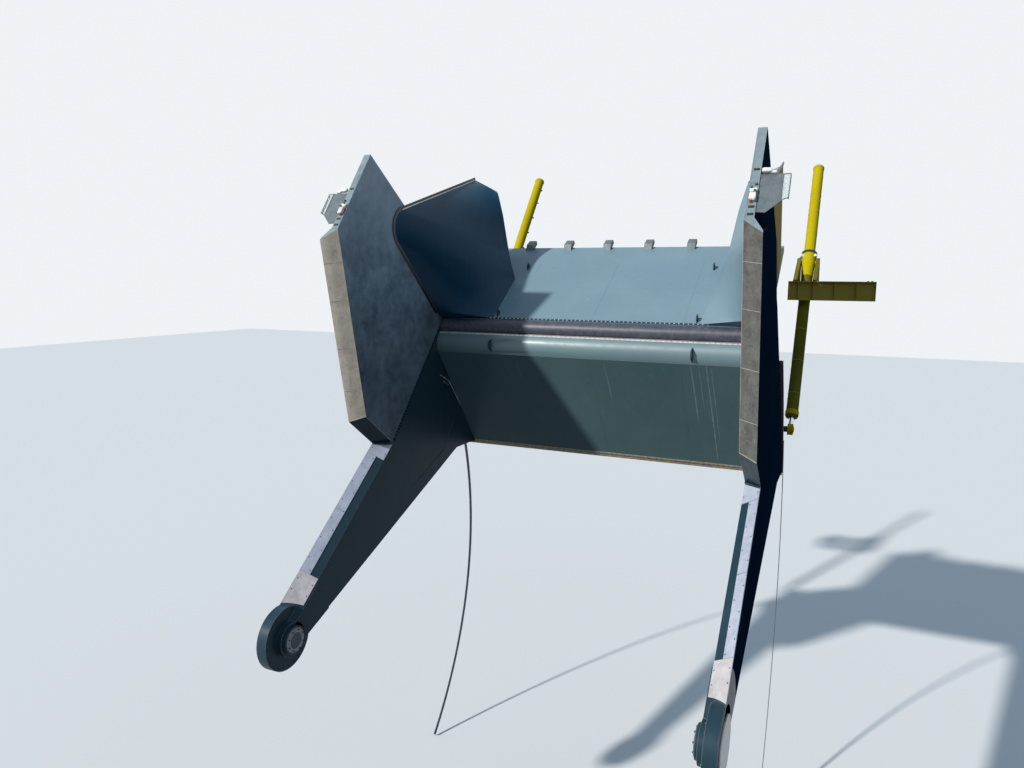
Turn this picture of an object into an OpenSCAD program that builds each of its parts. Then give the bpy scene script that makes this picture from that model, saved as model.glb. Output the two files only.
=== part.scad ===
// Raised radial weir gate with a crest flap, its trunnions and its two hoist cylinders.
// X runs across the bay from the left pier face, Y runs downstream, Z is up.
// The origin lies on the left trunnion axis, on the pier face.
// Points written [y, z] lie in the side view and are measured from the trunnion axis.

/* [Bay] */
// Clear width between the two pier faces
bay_w = 10900; // [9000:50:13000]
// Gap between a pier face and the gate arms
side_gap = 35; // [20:5:60]

/* [Leaf] */
// Radius from the trunnion axis to the bottom edge of the leaf
leaf_r = 10400; // [10000:50:10800]
// Angle of the bottom edge above the horizontal, gate raised as stored
leaf_low_angle = 17.3; // [12:0.1:20]
// Radius from the trunnion axis to the flap hinge axis
hinge_r = 10620; // [10300:20:10800]
// Angle of the flap hinge axis above the horizontal
hinge_angle = 43.7; // [40:0.1:46]
// Thickness of the flat upstream plate and the nose shell
front_t = 40; // [20:5:60]
// Outer radius of the rounded nose under the hinge
nose_r = 450; // [350:10:520]
// Distance of the downstream skin beyond the bottom edge radius
back_depth = 500; // [350:10:700]
// Thickness of the downstream skin
back_t = 30; // [16:2:50]
// Height of the rubber bottom seal
bottom_seal_h = 110; // [60:10:160]

/* [Arms and shields] */
// Full thickness of an arm and of the lower shield box
arm_t = 410; // [340:10:480]
// Thickness of the upper shield and of the leaf end plate
cap_t = 200; // [140:10:240]
// Thickness of the bare steel shield plate
shield_plate_t = 20; // [10:2:40]
// How far the upstream edge slopes back from pier side to channel side
edge_bevel = 255; // [150:5:320]
// Radius of the big hub disc at the trunnion
hub_disc_r = 800; // [650:10:900]
// Thickness of the big hub disc
hub_disc_t = 290; // [200:10:320]
// Radius of the raised hub boss
hub_boss_r = 350; // [280:10:420]
// Height of the raised hub boss above the disc
hub_boss_h = 220; // [150:10:300]
// Radius of the fixed trunnion pin
pin_r = 200; // [150:5:240]
// Radial running clearance of the trunnion pin
pin_play = 0.5; // [0.2:0.1:1]
// Thickness of the bolted wear plates on the arms
wear_t = 14; // [8:2:25]

/* [Flap] */
// Length of the flap from hinge axis to crest
flap_len = 4650; // [4200:50:5000]
// Slope of the flap above the horizontal, lowered as stored
flap_angle = 32; // [28:0.5:36]
// Radius of the torsion tube on the hinge axis
tube_r = 260; // [220:5:280]
// Thickness of the flap skin
flap_t = 30; // [16:2:45]
// Radius of the curved last part of the flap towards the crest
crest_bend_r = 6000; // [4000:100:9000]
// Depth of the flap ribs at the hinge
rib_depth = 420; // [300:10:480]
// Number of flap ribs
rib_count = 9; // [5:1:13]
// Gap between a fin and its shield plate, bridged by the fin seal
fin_gap = 25; // [15:1:40]
// Clearance between moving rubber and the shield plate
seal_play = 5; // [5:0.5:10]
// Number of nappe breakers on the crest
breaker_count = 6; // [4:1:8]

/* [Trunnion and track] */
// Thickness of the trunnion anchor plate on the pier
anchor_t = 30; // [20:1:32]
// Radius of the trunnion anchor plate
anchor_r = 620; // [450:10:700]
// Width of the stainless seal track on the pier
track_w = 160; // [100:10:180]
// Thickness of the seal track
track_t = 12; // [8:1:14]

/* [Hoist] */
// Slope of the hoist cylinders above the horizontal
hoist_slope = 52.45; // [50:0.05:55]
// Distance of the cylinder axis behind the pier face
hoist_set_back = 100; // [90:5:120]
// Horizontal distance of the hoist pivot from the trunnion axis
hoist_y = 14350; // [14000:50:14800]
// Height of the hoist pivot above the trunnion axis
hoist_z = 9450; // [9200:50:9800]
// Radius of the hoist cylinder barrel
barrel_r = 180; // [150:5:185]
// Barrel length above the pivot
barrel_up = 4440; // [4400:20:5000]
// Length of rod left showing between the barrel and the rod eye's centre, rod drawn in
rod_shown = 430; // [380:10:450]
// Radius of the piston rod
rod_r = 75; // [60:1:78]
// Distance from the hoist pivot to the rod eye
rod_reach = 6430; // [6300:5:6500]
// Height of the hoist beam
beam_h = 620; // [500:10:700]
// Length of the hoist beam from its channel end
beam_len = 2600; // [2200:50:3200]

/* [Hidden] */
$fn = 128;
big_fn = 720;

navy = "#243747";
teal = "#41555c";
bare_steel = "#767a7c";
bright_steel = "#a8abad";
hoist_yellow = "#dcc31e";
rubber_black = "#17181a";
seal_beige = "#b9ac8f";

arm_out = side_gap;
arm_in = side_gap + arm_t;
thin_out = arm_in - cap_t;
box_in = arm_in - shield_plate_t;
leaf_x1 = bay_w - arm_in;
back_r = leaf_r + back_depth;

hinge = polar(hinge_r, hinge_angle);
low_edge = polar(leaf_r, leaf_low_angle);

// Nose circle, with the flat upstream plate tangent to it
nose_c = hinge + [20, -540];
nose_top_angle = 128;
edge_to_nose = nose_c - low_edge;
edge_dist = norm(edge_to_nose);
panel_angle = atan2(edge_to_nose[1], edge_to_nose[0]) + asin(nose_r / edge_dist);
panel_len = sqrt(edge_dist * edge_dist - nose_r * nose_r);
nose_low = low_edge + polar(panel_len, panel_angle);
nose_top = nose_c + polar(nose_r, nose_top_angle);
seat_gap = 0.3;
panel_dir = polar(1, panel_angle);
panel_in = right_of(panel_dir);
seat_r = tube_r + 30;
seat_t = 25;
back_top_angle = 40;

// Shield outline on the channel side, set out from the hinge
shield_tip = hinge + polar(6220, 129.4);
shield_kink = hinge + polar(6100, 152.3);
shield_low = hinge + polar(4950, 207.5);
shield_foot = hinge + polar(4490, 226.2);
shield_corner = hinge + polar(215, 150);
shield_rear_top = hinge + polar(2640, 107);
shield_rear_low = hinge + polar(700, 60);
kink_drop = 300;

// The thick box ends along this line, which clears the hoist rod when the gate is down
box_rear_top = hinge + polar(5210, 148);
box_rear_mid = hinge + polar(2150, 154);
box_rear_low = hinge + polar(1585, 280);
box_heel = polar(leaf_r - 20, leaf_low_angle + 3.2);
shield_joint = crossing(shield_foot, shield_corner, box_rear_mid, box_rear_low);

// Edges on the pier side stand proud of those on the channel side by the bevel
near_dir = unit(shield_low - shield_kink);
foot_dir = unit(shield_foot - shield_low);
arm_edge_dir = polar(1, 38.8);
outer_kink = shield_kink + edge_bevel * right_of(near_dir);
outer_low = shield_low + edge_bevel * (right_of(near_dir) + right_of(foot_dir))
    / (1 + right_of(near_dir) * right_of(foot_dir));
outer_foot = crossing(outer_low, outer_low + foot_dir,
                      shield_foot - edge_bevel * right_of(arm_edge_dir),
                      shield_foot - edge_bevel * right_of(arm_edge_dir) + arm_edge_dir);

// Arm outline below the shield; both edges end inside the hub disc
root_top_in = 199;
root_low_in = 94;
arm_low_dir = polar(1, 25.3);
arm_knee = polar(leaf_r - 2000, leaf_low_angle + 5.8);
arm_heel = low_edge + [-480, 175];
arm_root_top = outer_foot - (outer_foot * arm_edge_dir - root_top_in) * arm_edge_dir;
arm_root_low = arm_knee - (arm_knee * arm_low_dir - root_low_in) * arm_low_dir;
stub_r = 1450;
stub_proud = 30;

// Hoist line, from the pivot down to the rod eye on the leaf
hoist_pivot = [hoist_y, hoist_z];
hoist_dir = polar(1, hoist_slope);
rod_eye = hoist_pivot - rod_reach * hoist_dir;
barrel_down = rod_reach - rod_shown;
hoist_x = -hoist_set_back;
eye_t = 160;
eye_r = 170;
bracket_r = 290;
gate_pin_r = 90;
hinge_pin_r = 90;
open_pivot_gap = 0.3;

// Flap directions and the curved crest
flap_dir = polar(1, flap_angle);
flap_up = polar(1, flap_angle + 90);
bend_len = 850;
lip_len = 300;
flap_flat = flap_len - bend_len - lip_len;
bend_c = hinge + flap_flat * flap_dir + (tube_r - crest_bend_r) * flap_up;
bend_angle = bend_len / crest_bend_r * 180 / PI;
crest_dir = polar(1, flap_angle - bend_angle);
crest_up = polar(1, flap_angle + 90 - bend_angle);
lip_start = bend_c + crest_bend_r * crest_up;
crest = lip_start + lip_len * crest_dir;
flap_x0 = arm_in + fin_gap;
flap_x1 = bay_w - flap_x0;

function polar(r, a) = [r * cos(a), r * sin(a)];
function unit(v) = v / norm(v);
function right_of(v) = [v[1], -v[0]];
function cross2(a, b) = a[0] * b[1] - a[1] * b[0];
function arc_points(r, a0, a1, n) = [for (i = [0 : n]) polar(r, a0 + (a1 - a0) * i / n)];
function arc_band(r0, r1, a0, a1, n) = concat(arc_points(r0, a0, a1, n), arc_points(r1, a1, a0, n));
function crossing(p, q, r, s) = p + cross2(r - p, s - r) / cross2(q - p, s - r) * (q - p);

module x_slab(x0, x1) {
    translate([x0, 0, 0]) rotate([90, 0, 90]) linear_extrude(height = x1 - x0) children();
}

module x_cylinder(r, x0, x1, at = [0, 0]) {
    translate([x0, at[0], at[1]]) rotate([0, 90, 0]) cylinder(r = r, h = x1 - x0);
}

module x_arc(r0, r1, x0, x1, a0, a1, at = [0, 0]) {
    reach = 2 * r1;
    translate([0, at[0], at[1]]) intersection() {
        difference() {
            x_cylinder(r1, x0, x1);
            x_cylinder(r0, x0 - 1, x1 + 1);
        }
        x_slab(x0 - 2, x1 + 2) polygon([[0, 0], polar(reach, a0), polar(reach, (a0 + a1) / 2), polar(reach, a1)]);
    }
}

module mirror_side() {
    translate([bay_w, 0, 0]) mirror([1, 0, 0]) children();
}

// Local frame on a bevelled edge: X across the bevel, Y along the edge, Z off the surface
module on_bevel(start, dir) {
    translate([arm_out, start[0], start[1]]) rotate([atan2(dir[1], dir[0]), 0, 0])
        rotate([0, atan2(edge_bevel, arm_t), 0]) children();
}

// Everything off the bevelled surface, to be cut away
module off_bevel(start, dir, ahead = 12000) {
    reach = 12000;
    on_bevel(start, dir) translate([-2000, -reach, 0]) cube([5000, reach + ahead, 5000]);
}

// Trunnion anchors
module trunnion_anchor() {
    bolt_circle_r = anchor_r - 70;
    difference() {
        x_cylinder(anchor_r, 0, anchor_t);
        for (i = [0 : 11]) x_cylinder(20, -1, anchor_t + 1, polar(bolt_circle_r, i * 30));
    }
    x_cylinder(pin_r, anchor_t, arm_out + hub_disc_t + hub_boss_h + 20);
}
module left_trunnion_anchor() { color(bright_steel) trunnion_anchor(); }
module right_trunnion_anchor() { color(bright_steel) mirror_side() trunnion_anchor(); }

// Seal tracks on the pier faces
module seal_track() {
    mid_r = leaf_r + 35;
    x_slab(0, track_t)
        polygon(arc_band(mid_r - track_w / 2, mid_r + track_w / 2, leaf_low_angle - 60, leaf_low_angle + 6, 48));
}
module left_seal_track() { color(bright_steel) seal_track(); }
module right_seal_track() { color(bright_steel) mirror_side() seal_track(); }

// Trunnion hubs: a disc towards the pier, the stub of the arm and a raised boss
module stub_outline() {
    intersection() {
        circle(r = stub_r, $fn = 256);
        polygon([outer_foot, arm_root_top, arm_root_low, arm_knee]);
    }
}
module trunnion_hub() {
    disc_in = arm_out + hub_disc_t;
    difference() {
        union() {
            x_cylinder(hub_disc_r, arm_out, disc_in);
            difference() {
                x_slab(arm_out, arm_in + stub_proud) stub_outline();
                off_bevel(outer_foot, arm_edge_dir);
            }
            x_cylinder(hub_boss_r + 90, disc_in, arm_in + stub_proud);
            x_cylinder(hub_boss_r, disc_in, disc_in + hub_boss_h);
        }
        x_cylinder(pin_r + pin_play, -1, disc_in + hub_boss_h + 1);
    }
}
module left_trunnion_hub() { color(navy) trunnion_hub(); }
module right_trunnion_hub() { color(navy) mirror_side() trunnion_hub(); }

// Arms
module arm() {
    difference() {
        x_slab(arm_out, arm_in)
            polygon([outer_foot, arm_root_top, arm_root_low, arm_knee, arm_heel, polar(leaf_r - 20, leaf_low_angle),
                     box_heel, box_rear_low, shield_joint, shield_foot]);
        off_bevel(outer_foot, arm_edge_dir, (shield_foot - outer_foot) * arm_edge_dir - 40);
        x_cylinder(stub_r, arm_out - 1, arm_in + 1, $fn = 256);
    }
}
module left_arm() { color(navy) arm(); }
module right_arm() { color(navy) mirror_side() arm(); }

// Shields: a thick box low down, a thin cap above, and a bare steel plate on the channel side
module shield_outline() {
    polygon([shield_tip, outer_kink, outer_low, outer_foot, shield_foot, shield_joint, shield_corner,
             shield_rear_low, shield_rear_top]);
}
module shield_bevels() {
    off_bevel(outer_low, -near_dir);
    off_bevel(outer_foot, -foot_dir);
}
module shield_box() {
    difference() {
        union() {
            x_slab(arm_out, box_in)
                polygon([outer_kink + kink_drop * near_dir, outer_low, outer_foot, shield_foot, shield_joint,
                         box_rear_mid, box_rear_top]);
            x_slab(thin_out, box_in) shield_outline();
        }
        shield_bevels();
    }
}
module left_shield_box() { color(navy) shield_box(); }
module right_shield_box() { color(navy) mirror_side() shield_box(); }
module shield_plate() {
    difference() {
        x_slab(box_in, arm_in) shield_outline();
        shield_bevels();
    }
}
module left_shield_plate() { color(bare_steel) shield_plate(); }
module right_shield_plate() { color(bare_steel) mirror_side() shield_plate(); }

// End plates of the leaf, with the bracket and pin for the hoist rod
module end_plate() {
    rear_r = max(back_r + 40, hinge_r + hinge_pin_r + 60);
    difference() {
        x_slab(thin_out, arm_in) {
            difference() {
                union() {
                    intersection() {
                        circle(r = rear_r, $fn = big_fn);
                        polygon([shield_joint, box_rear_low, box_heel, polar(leaf_r - 20, leaf_low_angle),
                                 polar(rear_r + 300, leaf_low_angle), polar(rear_r + 300, 40),
                                 shield_rear_low + [300, 100], shield_rear_low, shield_corner]);
                    }
                    polygon([polar(rear_r - 100, leaf_low_angle + 1), rod_eye + polar(bracket_r, -60),
                             rod_eye + polar(bracket_r, 60), polar(rear_r - 100, leaf_low_angle + 11)]);
                    translate(rod_eye) circle(r = bracket_r);
                }
                translate(hinge) circle(r = hinge_pin_r + pin_play);
            }
        }
    }
    x_cylinder(gate_pin_r, hoist_x + eye_t / 2 + open_pivot_gap, thin_out, rod_eye);
    x_cylinder(gate_pin_r + 50, arm_in, arm_in + 30, rod_eye);
}
module left_end_plate() { color(navy) end_plate(); }
module right_end_plate() { color(navy) mirror_side() end_plate(); }

// Wear plates bolted to the bevelled edge of each arm
module wear_plates() {
    bevel_w = sqrt(arm_t * arm_t + edge_bevel * edge_bevel);
    strip_w = 0.56 * bevel_w;
    first = norm(outer_foot) - 900;
    wide_low = 1050;
    wide_top = 560;
    strips = 3;
    strip_len = (first - wide_low - wide_top) / strips;
    on_bevel(outer_foot - first * arm_edge_dir, arm_edge_dir) {
        translate([6, 0, 0]) cube([bevel_w - 12, wide_low, wear_t]);
        for (i = [0 : strips - 1]) {
            translate([6, wide_low + i * strip_len + 4, 0]) cube([strip_w, strip_len - 8, wear_t]);
        }
        translate([6, first - wide_top, 0]) cube([bevel_w - 12, wide_top - 30, wear_t]);
    }
}
module left_wear_plates() { color(bright_steel) wear_plates(); }
module right_wear_plates() { color(bright_steel) mirror_side() wear_plates(); }

// Sheet covers beside the upper edge of each shield
module guide_cover() {
    low = shield_kink + [260, 90];
    cover_h = 640;
    translate([thin_out - 560, low[0], low[1]]) {
        cube([560, 16, cover_h]);
        translate([0, 16, 0]) cube([16, 240, cover_h]);
    }
}
module left_guide_cover() { color(bright_steel) guide_cover(); }
module right_guide_cover() { color(bright_steel) mirror_side() guide_cover(); }

// Side seals between the leaf and the tracks
module side_seal() {
    x_slab(track_t + seat_gap, thin_out)
        polygon(arc_band(leaf_r, leaf_r + 70, leaf_low_angle, hinge_angle - 4, 20));
}
module left_side_seal() { color(rubber_black) side_seal(); }
module right_side_seal() { color(rubber_black) mirror_side() side_seal(); }

// Leaf box between the arms
module front_plate() {
    plate_top = nose_low - seat_gap * panel_dir;
    color(teal) x_slab(arm_in, leaf_x1)
        polygon([low_edge, plate_top, plate_top + front_t * panel_in, low_edge + front_t * panel_in]);
}
module nose() {
    color(teal) difference() {
        x_arc(nose_r - front_t, nose_r, arm_in, leaf_x1, nose_top_angle - 8, panel_angle + 90, nose_c);
        x_cylinder(seat_r + seat_t, arm_in - 1, leaf_x1 + 1, hinge);
    }
}
module back_skin() {
    heel = low_edge + front_t * panel_in;
    heel_rear = polar(back_r - back_t / 2, leaf_low_angle);
    color(navy) {
        x_slab(arm_in, leaf_x1) polygon(arc_band(back_r - back_t, back_r, leaf_low_angle, back_top_angle, 20));
        x_slab(arm_in, leaf_x1)
            polygon([heel, heel_rear, heel_rear + back_t * panel_dir, heel + back_t * panel_dir]);
    }
}
module hinge_seat() {
    sill_r = back_r - back_t - seat_gap;
    color(bright_steel) {
        x_arc(seat_r, seat_r + seat_t, arm_in, leaf_x1, 215, 290, hinge);
        difference() {
            x_slab(arm_in, leaf_x1)
                polygon([hinge + polar(seat_r, 284), polar(sill_r, back_top_angle),
                         polar(sill_r, back_top_angle - 0.15), hinge + polar(seat_r + seat_t, 284)]);
            x_cylinder(seat_r, arm_in - 1, leaf_x1 + 1, hinge);
        }
    }
}
module bottom_seal() {
    seal_foot = low_edge - bottom_seal_h * panel_dir;
    inner_foot = seal_foot + front_t * panel_in;
    inner_top = low_edge + front_t * panel_in;
    under_plate = crossing(low_edge, 2 * low_edge, inner_foot, inner_top) - seat_gap * panel_dir;
    color(seal_beige) {
        x_slab(arm_in, leaf_x1) polygon([low_edge, seal_foot, inner_foot, inner_top]);
        x_slab(arm_out, bay_w - arm_out)
            polygon([low_edge - seat_gap * panel_dir, seal_foot, inner_foot, under_plate]);
    }
}
lug_inset = 2350;
lug_t = 30;
module nose_lugs() {
    lug_tip_r = nose_r + 190;
    color(navy) for (x = [lug_inset, bay_w - lug_inset])
        x_slab(x - lug_t / 2, x + lug_t / 2) difference() {
            polygon([nose_c + polar(nose_r - 20, 150), nose_c + polar(lug_tip_r, 168),
                     nose_c + polar(lug_tip_r, 186), nose_c + polar(nose_r - 20, 214)]);
            translate(nose_c) circle(r = nose_r + seat_gap);
            translate(nose_c + polar(nose_r + 110, 177)) circle(r = 40);
        }
}

// Flap
module torsion_tube() {
    color(rubber_black) {
        x_cylinder(tube_r, flap_x0, flap_x1, hinge);
        x_cylinder(hinge_pin_r, thin_out + 20, flap_x0, hinge);
        x_cylinder(hinge_pin_r, flap_x1, bay_w - thin_out - 20, hinge);
    }
}
module flap_skin() {
    root = hinge + tube_r * flap_up;
    bend = root + flap_flat * flap_dir;
    start = root + 60 * flap_dir;
    color(teal) {
        difference() {
            x_slab(flap_x0, flap_x1)
                polygon([start, bend, bend - flap_t * flap_up, start - flap_t * flap_up]);
            x_cylinder(tube_r, flap_x0 - 1, flap_x1 + 1, hinge);
        }
        x_arc(crest_bend_r - flap_t, crest_bend_r, flap_x0, flap_x1,
              flap_angle + 90 - bend_angle, flap_angle + 90, bend_c, $fn = big_fn);
        x_slab(flap_x0, flap_x1)
            polygon([lip_start, crest, crest - flap_t * crest_up, lip_start - flap_t * crest_up]);
    }
}
function under_bend(share) = bend_c
    + polar(crest_bend_r - flap_t - seat_gap, flap_angle + 90 - share * bend_angle);
beam_w = 90;
beam_d = 160;
rib_into_beam = 20;
module rib_outline() {
    under = tube_r - flap_t - seat_gap;
    beam_face = crest - (beam_w - rib_into_beam) * crest_dir - (flap_t + seat_gap) * crest_up;
    difference() {
        polygon(concat(
            [hinge + under * flap_up],
            [for (i = [0 : 6]) under_bend(i / 6)],
            [beam_face, beam_face - beam_d * crest_up,
             hinge + 1500 * flap_dir + (under - rib_depth) * flap_up,
             hinge + 500 * flap_dir + (under - rib_depth) * flap_up,
             hinge]));
        translate(hinge) circle(r = tube_r + seat_gap);
    }
}
module flap_ribs() {
    rib_t = 24;
    under_lip = crest - (flap_t + seat_gap) * crest_up;
    pitch = (flap_x1 - flap_x0 - rib_t) / (rib_count - 1);
    color(navy) {
        for (i = [0 : rib_count - 1]) {
            x = flap_x0 + i * pitch;
            x_slab(x, x + rib_t) rib_outline();
        }
        x_slab(flap_x0, flap_x1)
            polygon([under_lip, under_lip - beam_d * crest_up,
                     under_lip - beam_d * crest_up - beam_w * crest_dir, under_lip - beam_w * crest_dir]);
    }
}
module nappe_breakers() {
    pitch = 1420;
    breaker_w = 260;
    seat = crest + seat_gap * crest_up;
    color(bare_steel) for (i = [0 : breaker_count - 1]) {
        x = bay_w / 2 + (i - (breaker_count - 1) / 2) * pitch;
        x_slab(x - breaker_w / 2, x + breaker_w / 2)
            polygon([seat - 260 * crest_dir, seat, seat + 230 * crest_dir + 60 * crest_up,
                     seat + 200 * crest_dir + 190 * crest_up, seat - 120 * crest_dir + 170 * crest_up]);
    }
}
module flap_lugs() {
    root = hinge + (tube_r + seat_gap) * flap_up;
    lug_h = 170;
    color(navy) for (x = [lug_inset, bay_w - lug_inset], s = [330, 3130])
        x_slab(x - lug_t / 2, x + lug_t / 2) difference() {
            polygon([root + (s - 130) * flap_dir, root + (s + 130) * flap_dir,
                     root + (s + 60) * flap_dir + lug_h * flap_up, root + (s - 60) * flap_dir + lug_h * flap_up]);
            translate(root + s * flap_dir + 100 * flap_up) circle(r = 36);
        }
}

// Fins at both ends of the flap, notched where the raised flap brings them past the nose
fin_round_c = hinge + polar(3714, 127.8);
fin_round_r = 630;
fin_top = hinge + polar(5370, 65.9);
fin_start = hinge + polar(tube_r + 50, 146);
fin_foot_in = 1600;
fin_lift = 12;
flap_travel = 88;
nose_play = 15;
module nose_notch() {
    turned = atan2(nose_c[1] - hinge[1], nose_c[0] - hinge[0]) - flap_travel;
    x_cylinder(nose_r + nose_play, arm_in, arm_in + fin_foot_in, hinge + polar(norm(nose_c - hinge), turned));
    x_cylinder(seat_r + seat_t + nose_play, arm_in, arm_in + fin_foot_in, hinge);
}
module fin_point(x, p) {
    x_cylinder(12, x, x + 8, p, $fn = 8);
}
module fin() {
    root = hinge + (tube_r + fin_lift) * flap_up;
    difference() {
        hull() {
            x_cylinder(fin_round_r, flap_x0, flap_x0 + 8, fin_round_c, $fn = 48);
            fin_point(flap_x0, fin_start);
            fin_point(flap_x0, fin_top);
            fin_point(flap_x0, root + 330 * flap_dir);
            fin_point(flap_x0, root + 3900 * flap_dir);
            fin_point(flap_x0 + 0.58 * fin_foot_in, hinge + polar(4825, 65.2));
            fin_point(flap_x0 + 0.72 * fin_foot_in, hinge + polar(4110, 60.9));
            fin_point(flap_x0 + 0.87 * fin_foot_in, hinge + polar(3075, 50.1));
            fin_point(flap_x0 + fin_foot_in, root + 2420 * flap_dir);
        }
        nose_notch();
        x_cylinder(crest_bend_r, flap_x0 - 1, flap_x0 + fin_foot_in + 100, bend_c, $fn = big_fn);
        x_slab(flap_x0 - 1, flap_x0 + fin_foot_in + 100)
            polygon([hinge - 900 * flap_dir + tube_r * flap_up, root + flap_flat * flap_dir - fin_lift * flap_up,
                     hinge + flap_flat * flap_dir - tube_r * flap_up, hinge - 900 * flap_dir - tube_r * flap_up]);
    }
}
module left_fin() { color(teal) fin(); }
module right_fin() { color(teal) mirror_side() fin(); }
function rim(inset) = concat(
    [fin_start + inset * polar(1, 45)],
    [for (a = [226 : -12 : 106]) fin_round_c + polar(fin_round_r - inset, a)],
    [fin_top + inset * polar(1, -73.4)]);
module fin_seal() {
    outer = rim(-20);
    inner = rim(70);
    last = len(inner) - 1;
    difference() {
        x_slab(arm_in + seal_play, flap_x0) polygon(concat(outer, [for (i = [last : -1 : 0]) inner[i]]));
        nose_notch();
    }
}
module left_fin_seal() { color(rubber_black) fin_seal(); }
module right_fin_seal() { color(rubber_black) mirror_side() fin_seal(); }

// Hoist beams: two I beams side by side with an end plate, the barrel passes between them
beam_top = hoist_z - 610;
beam_x1 = arm_in - 65;
flange_w = 200;
flange_t = 30;
web_t = 20;
barrel_gap_y0 = hoist_y - 1220;
barrel_gap_y1 = hoist_y + 60;
module i_beam(y0) {
    x0 = beam_x1 - beam_len;
    translate([x0, y0, beam_top - flange_t]) cube([beam_len, flange_w, flange_t]);
    translate([x0, y0, beam_top - beam_h]) cube([beam_len, flange_w, flange_t]);
    translate([x0, y0 + (flange_w - web_t) / 2, beam_top - beam_h + flange_t])
        cube([beam_len, web_t, beam_h - 2 * flange_t]);
}
module hoist_beam() {
    depth = barrel_gap_y1 - barrel_gap_y0 + 2 * flange_w;
    i_beam(barrel_gap_y0 - flange_w);
    i_beam(barrel_gap_y1);
    translate([beam_x1, barrel_gap_y0 - flange_w, beam_top - beam_h]) cube([20, depth, beam_h]);
    translate([beam_x1 - beam_len - 20, barrel_gap_y0 - flange_w, beam_top - beam_h]) cube([20, depth, beam_h]);
}
module left_hoist_beam() { color(hoist_yellow) hoist_beam(); }
module right_hoist_beam() { color(hoist_yellow) mirror_side() hoist_beam(); }

// Bearing stools that carry the barrel on its side pins
side_pin_r = 80;
stool_t = 120;
stool_gap = 240;
module stool(x0) {
    difference() {
        x_slab(x0, x0 + stool_t) {
            translate(hoist_pivot) circle(r = 170);
            polygon([[barrel_gap_y0 - flange_w, beam_top + 30], [barrel_gap_y1 + flange_w, beam_top + 30],
                     hoist_pivot + polar(170, 20), hoist_pivot + polar(170, 160)]);
        }
        x_cylinder(side_pin_r + pin_play, x0 - 1, x0 + stool_t + 1, hoist_pivot);
    }
    translate([x0, barrel_gap_y0 - flange_w, beam_top])
        cube([stool_t, barrel_gap_y1 - barrel_gap_y0 + 2 * flange_w, 30]);
}
module hoist_stools() {
    stool(hoist_x + stool_gap);
    stool(hoist_x - stool_gap - stool_t);
}
module left_hoist_stools() { color(hoist_yellow) hoist_stools(); }
module right_hoist_stools() { color(hoist_yellow) mirror_side() hoist_stools(); }

// Hoist cylinders, drawn along the hoist line with the pivot as their zero
module on_hoist_line() {
    translate([hoist_x, hoist_y, hoist_z]) rotate([hoist_slope - 90, 0, 0]) children();
}
bore_r = 110;
gland_len = 90;
barrel_cap_t = 30;
piston_len = 120;
piston_top = barrel_up - barrel_cap_t - 10;
module barrel() {
    on_hoist_line() {
        difference() {
            union() {
                translate([0, 0, -barrel_down]) cylinder(r = barrel_r, h = barrel_down + barrel_up);
                translate([0, 0, -140]) cylinder(r = barrel_r + 40, h = 280);
                translate([0, 0, 330]) cylinder(r = barrel_r + 45, h = 70);
            }
            translate([0, 0, -barrel_down + gland_len])
                cylinder(r = bore_r, h = barrel_down + barrel_up - gland_len - barrel_cap_t);
            translate([0, 0, -barrel_down - 1]) cylinder(r = rod_r + pin_play, h = gland_len + 2);
        }
    }
    difference() {
        x_cylinder(side_pin_r, hoist_x - stool_gap - stool_t, hoist_x + stool_gap + stool_t, hoist_pivot);
        on_hoist_line() translate([0, 0, -500]) cylinder(r = barrel_r + 20, h = 1000);
    }
}
module left_barrel() { color(hoist_yellow) barrel(); }
module right_barrel() { color(hoist_yellow) mirror_side() barrel(); }
module rod() {
    rod_foot = eye_r - rod_reach - 30;
    color(bright_steel) on_hoist_line() {
        translate([0, 0, rod_foot]) cylinder(r = rod_r, h = piston_top - rod_foot - 10);
        translate([0, 0, piston_top - piston_len]) cylinder(r = bore_r - pin_play, h = piston_len);
    }
    color(hoist_yellow) {
        x_cylinder(eye_r, hoist_x - eye_t / 2, hoist_x + eye_t / 2, rod_eye);
        x_cylinder(gate_pin_r, hoist_x - eye_t / 2 - 25, hoist_x - eye_t / 2, rod_eye);
    }
}
module left_rod() { rod(); }
module right_rod() { mirror_side() rod(); }

left_trunnion_anchor();
right_trunnion_anchor();
left_seal_track();
right_seal_track();
left_hoist_beam();
right_hoist_beam();
left_hoist_stools();
right_hoist_stools();
left_arm();
right_arm();
left_trunnion_hub();
right_trunnion_hub();
left_shield_box();
right_shield_box();
left_shield_plate();
right_shield_plate();
left_end_plate();
right_end_plate();
left_wear_plates();
right_wear_plates();
left_guide_cover();
right_guide_cover();
left_side_seal();
right_side_seal();
front_plate();
nose();
back_skin();
hinge_seat();
bottom_seal();
nose_lugs();
torsion_tube();
flap_skin();
flap_ribs();
nappe_breakers();
flap_lugs();
left_fin();
right_fin();
left_fin_seal();
right_fin_seal();
left_barrel();
right_barrel();
left_rod();
right_rod();
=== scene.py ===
import math
import random
import bpy
import bmesh
from mathutils import Matrix, Vector


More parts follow.
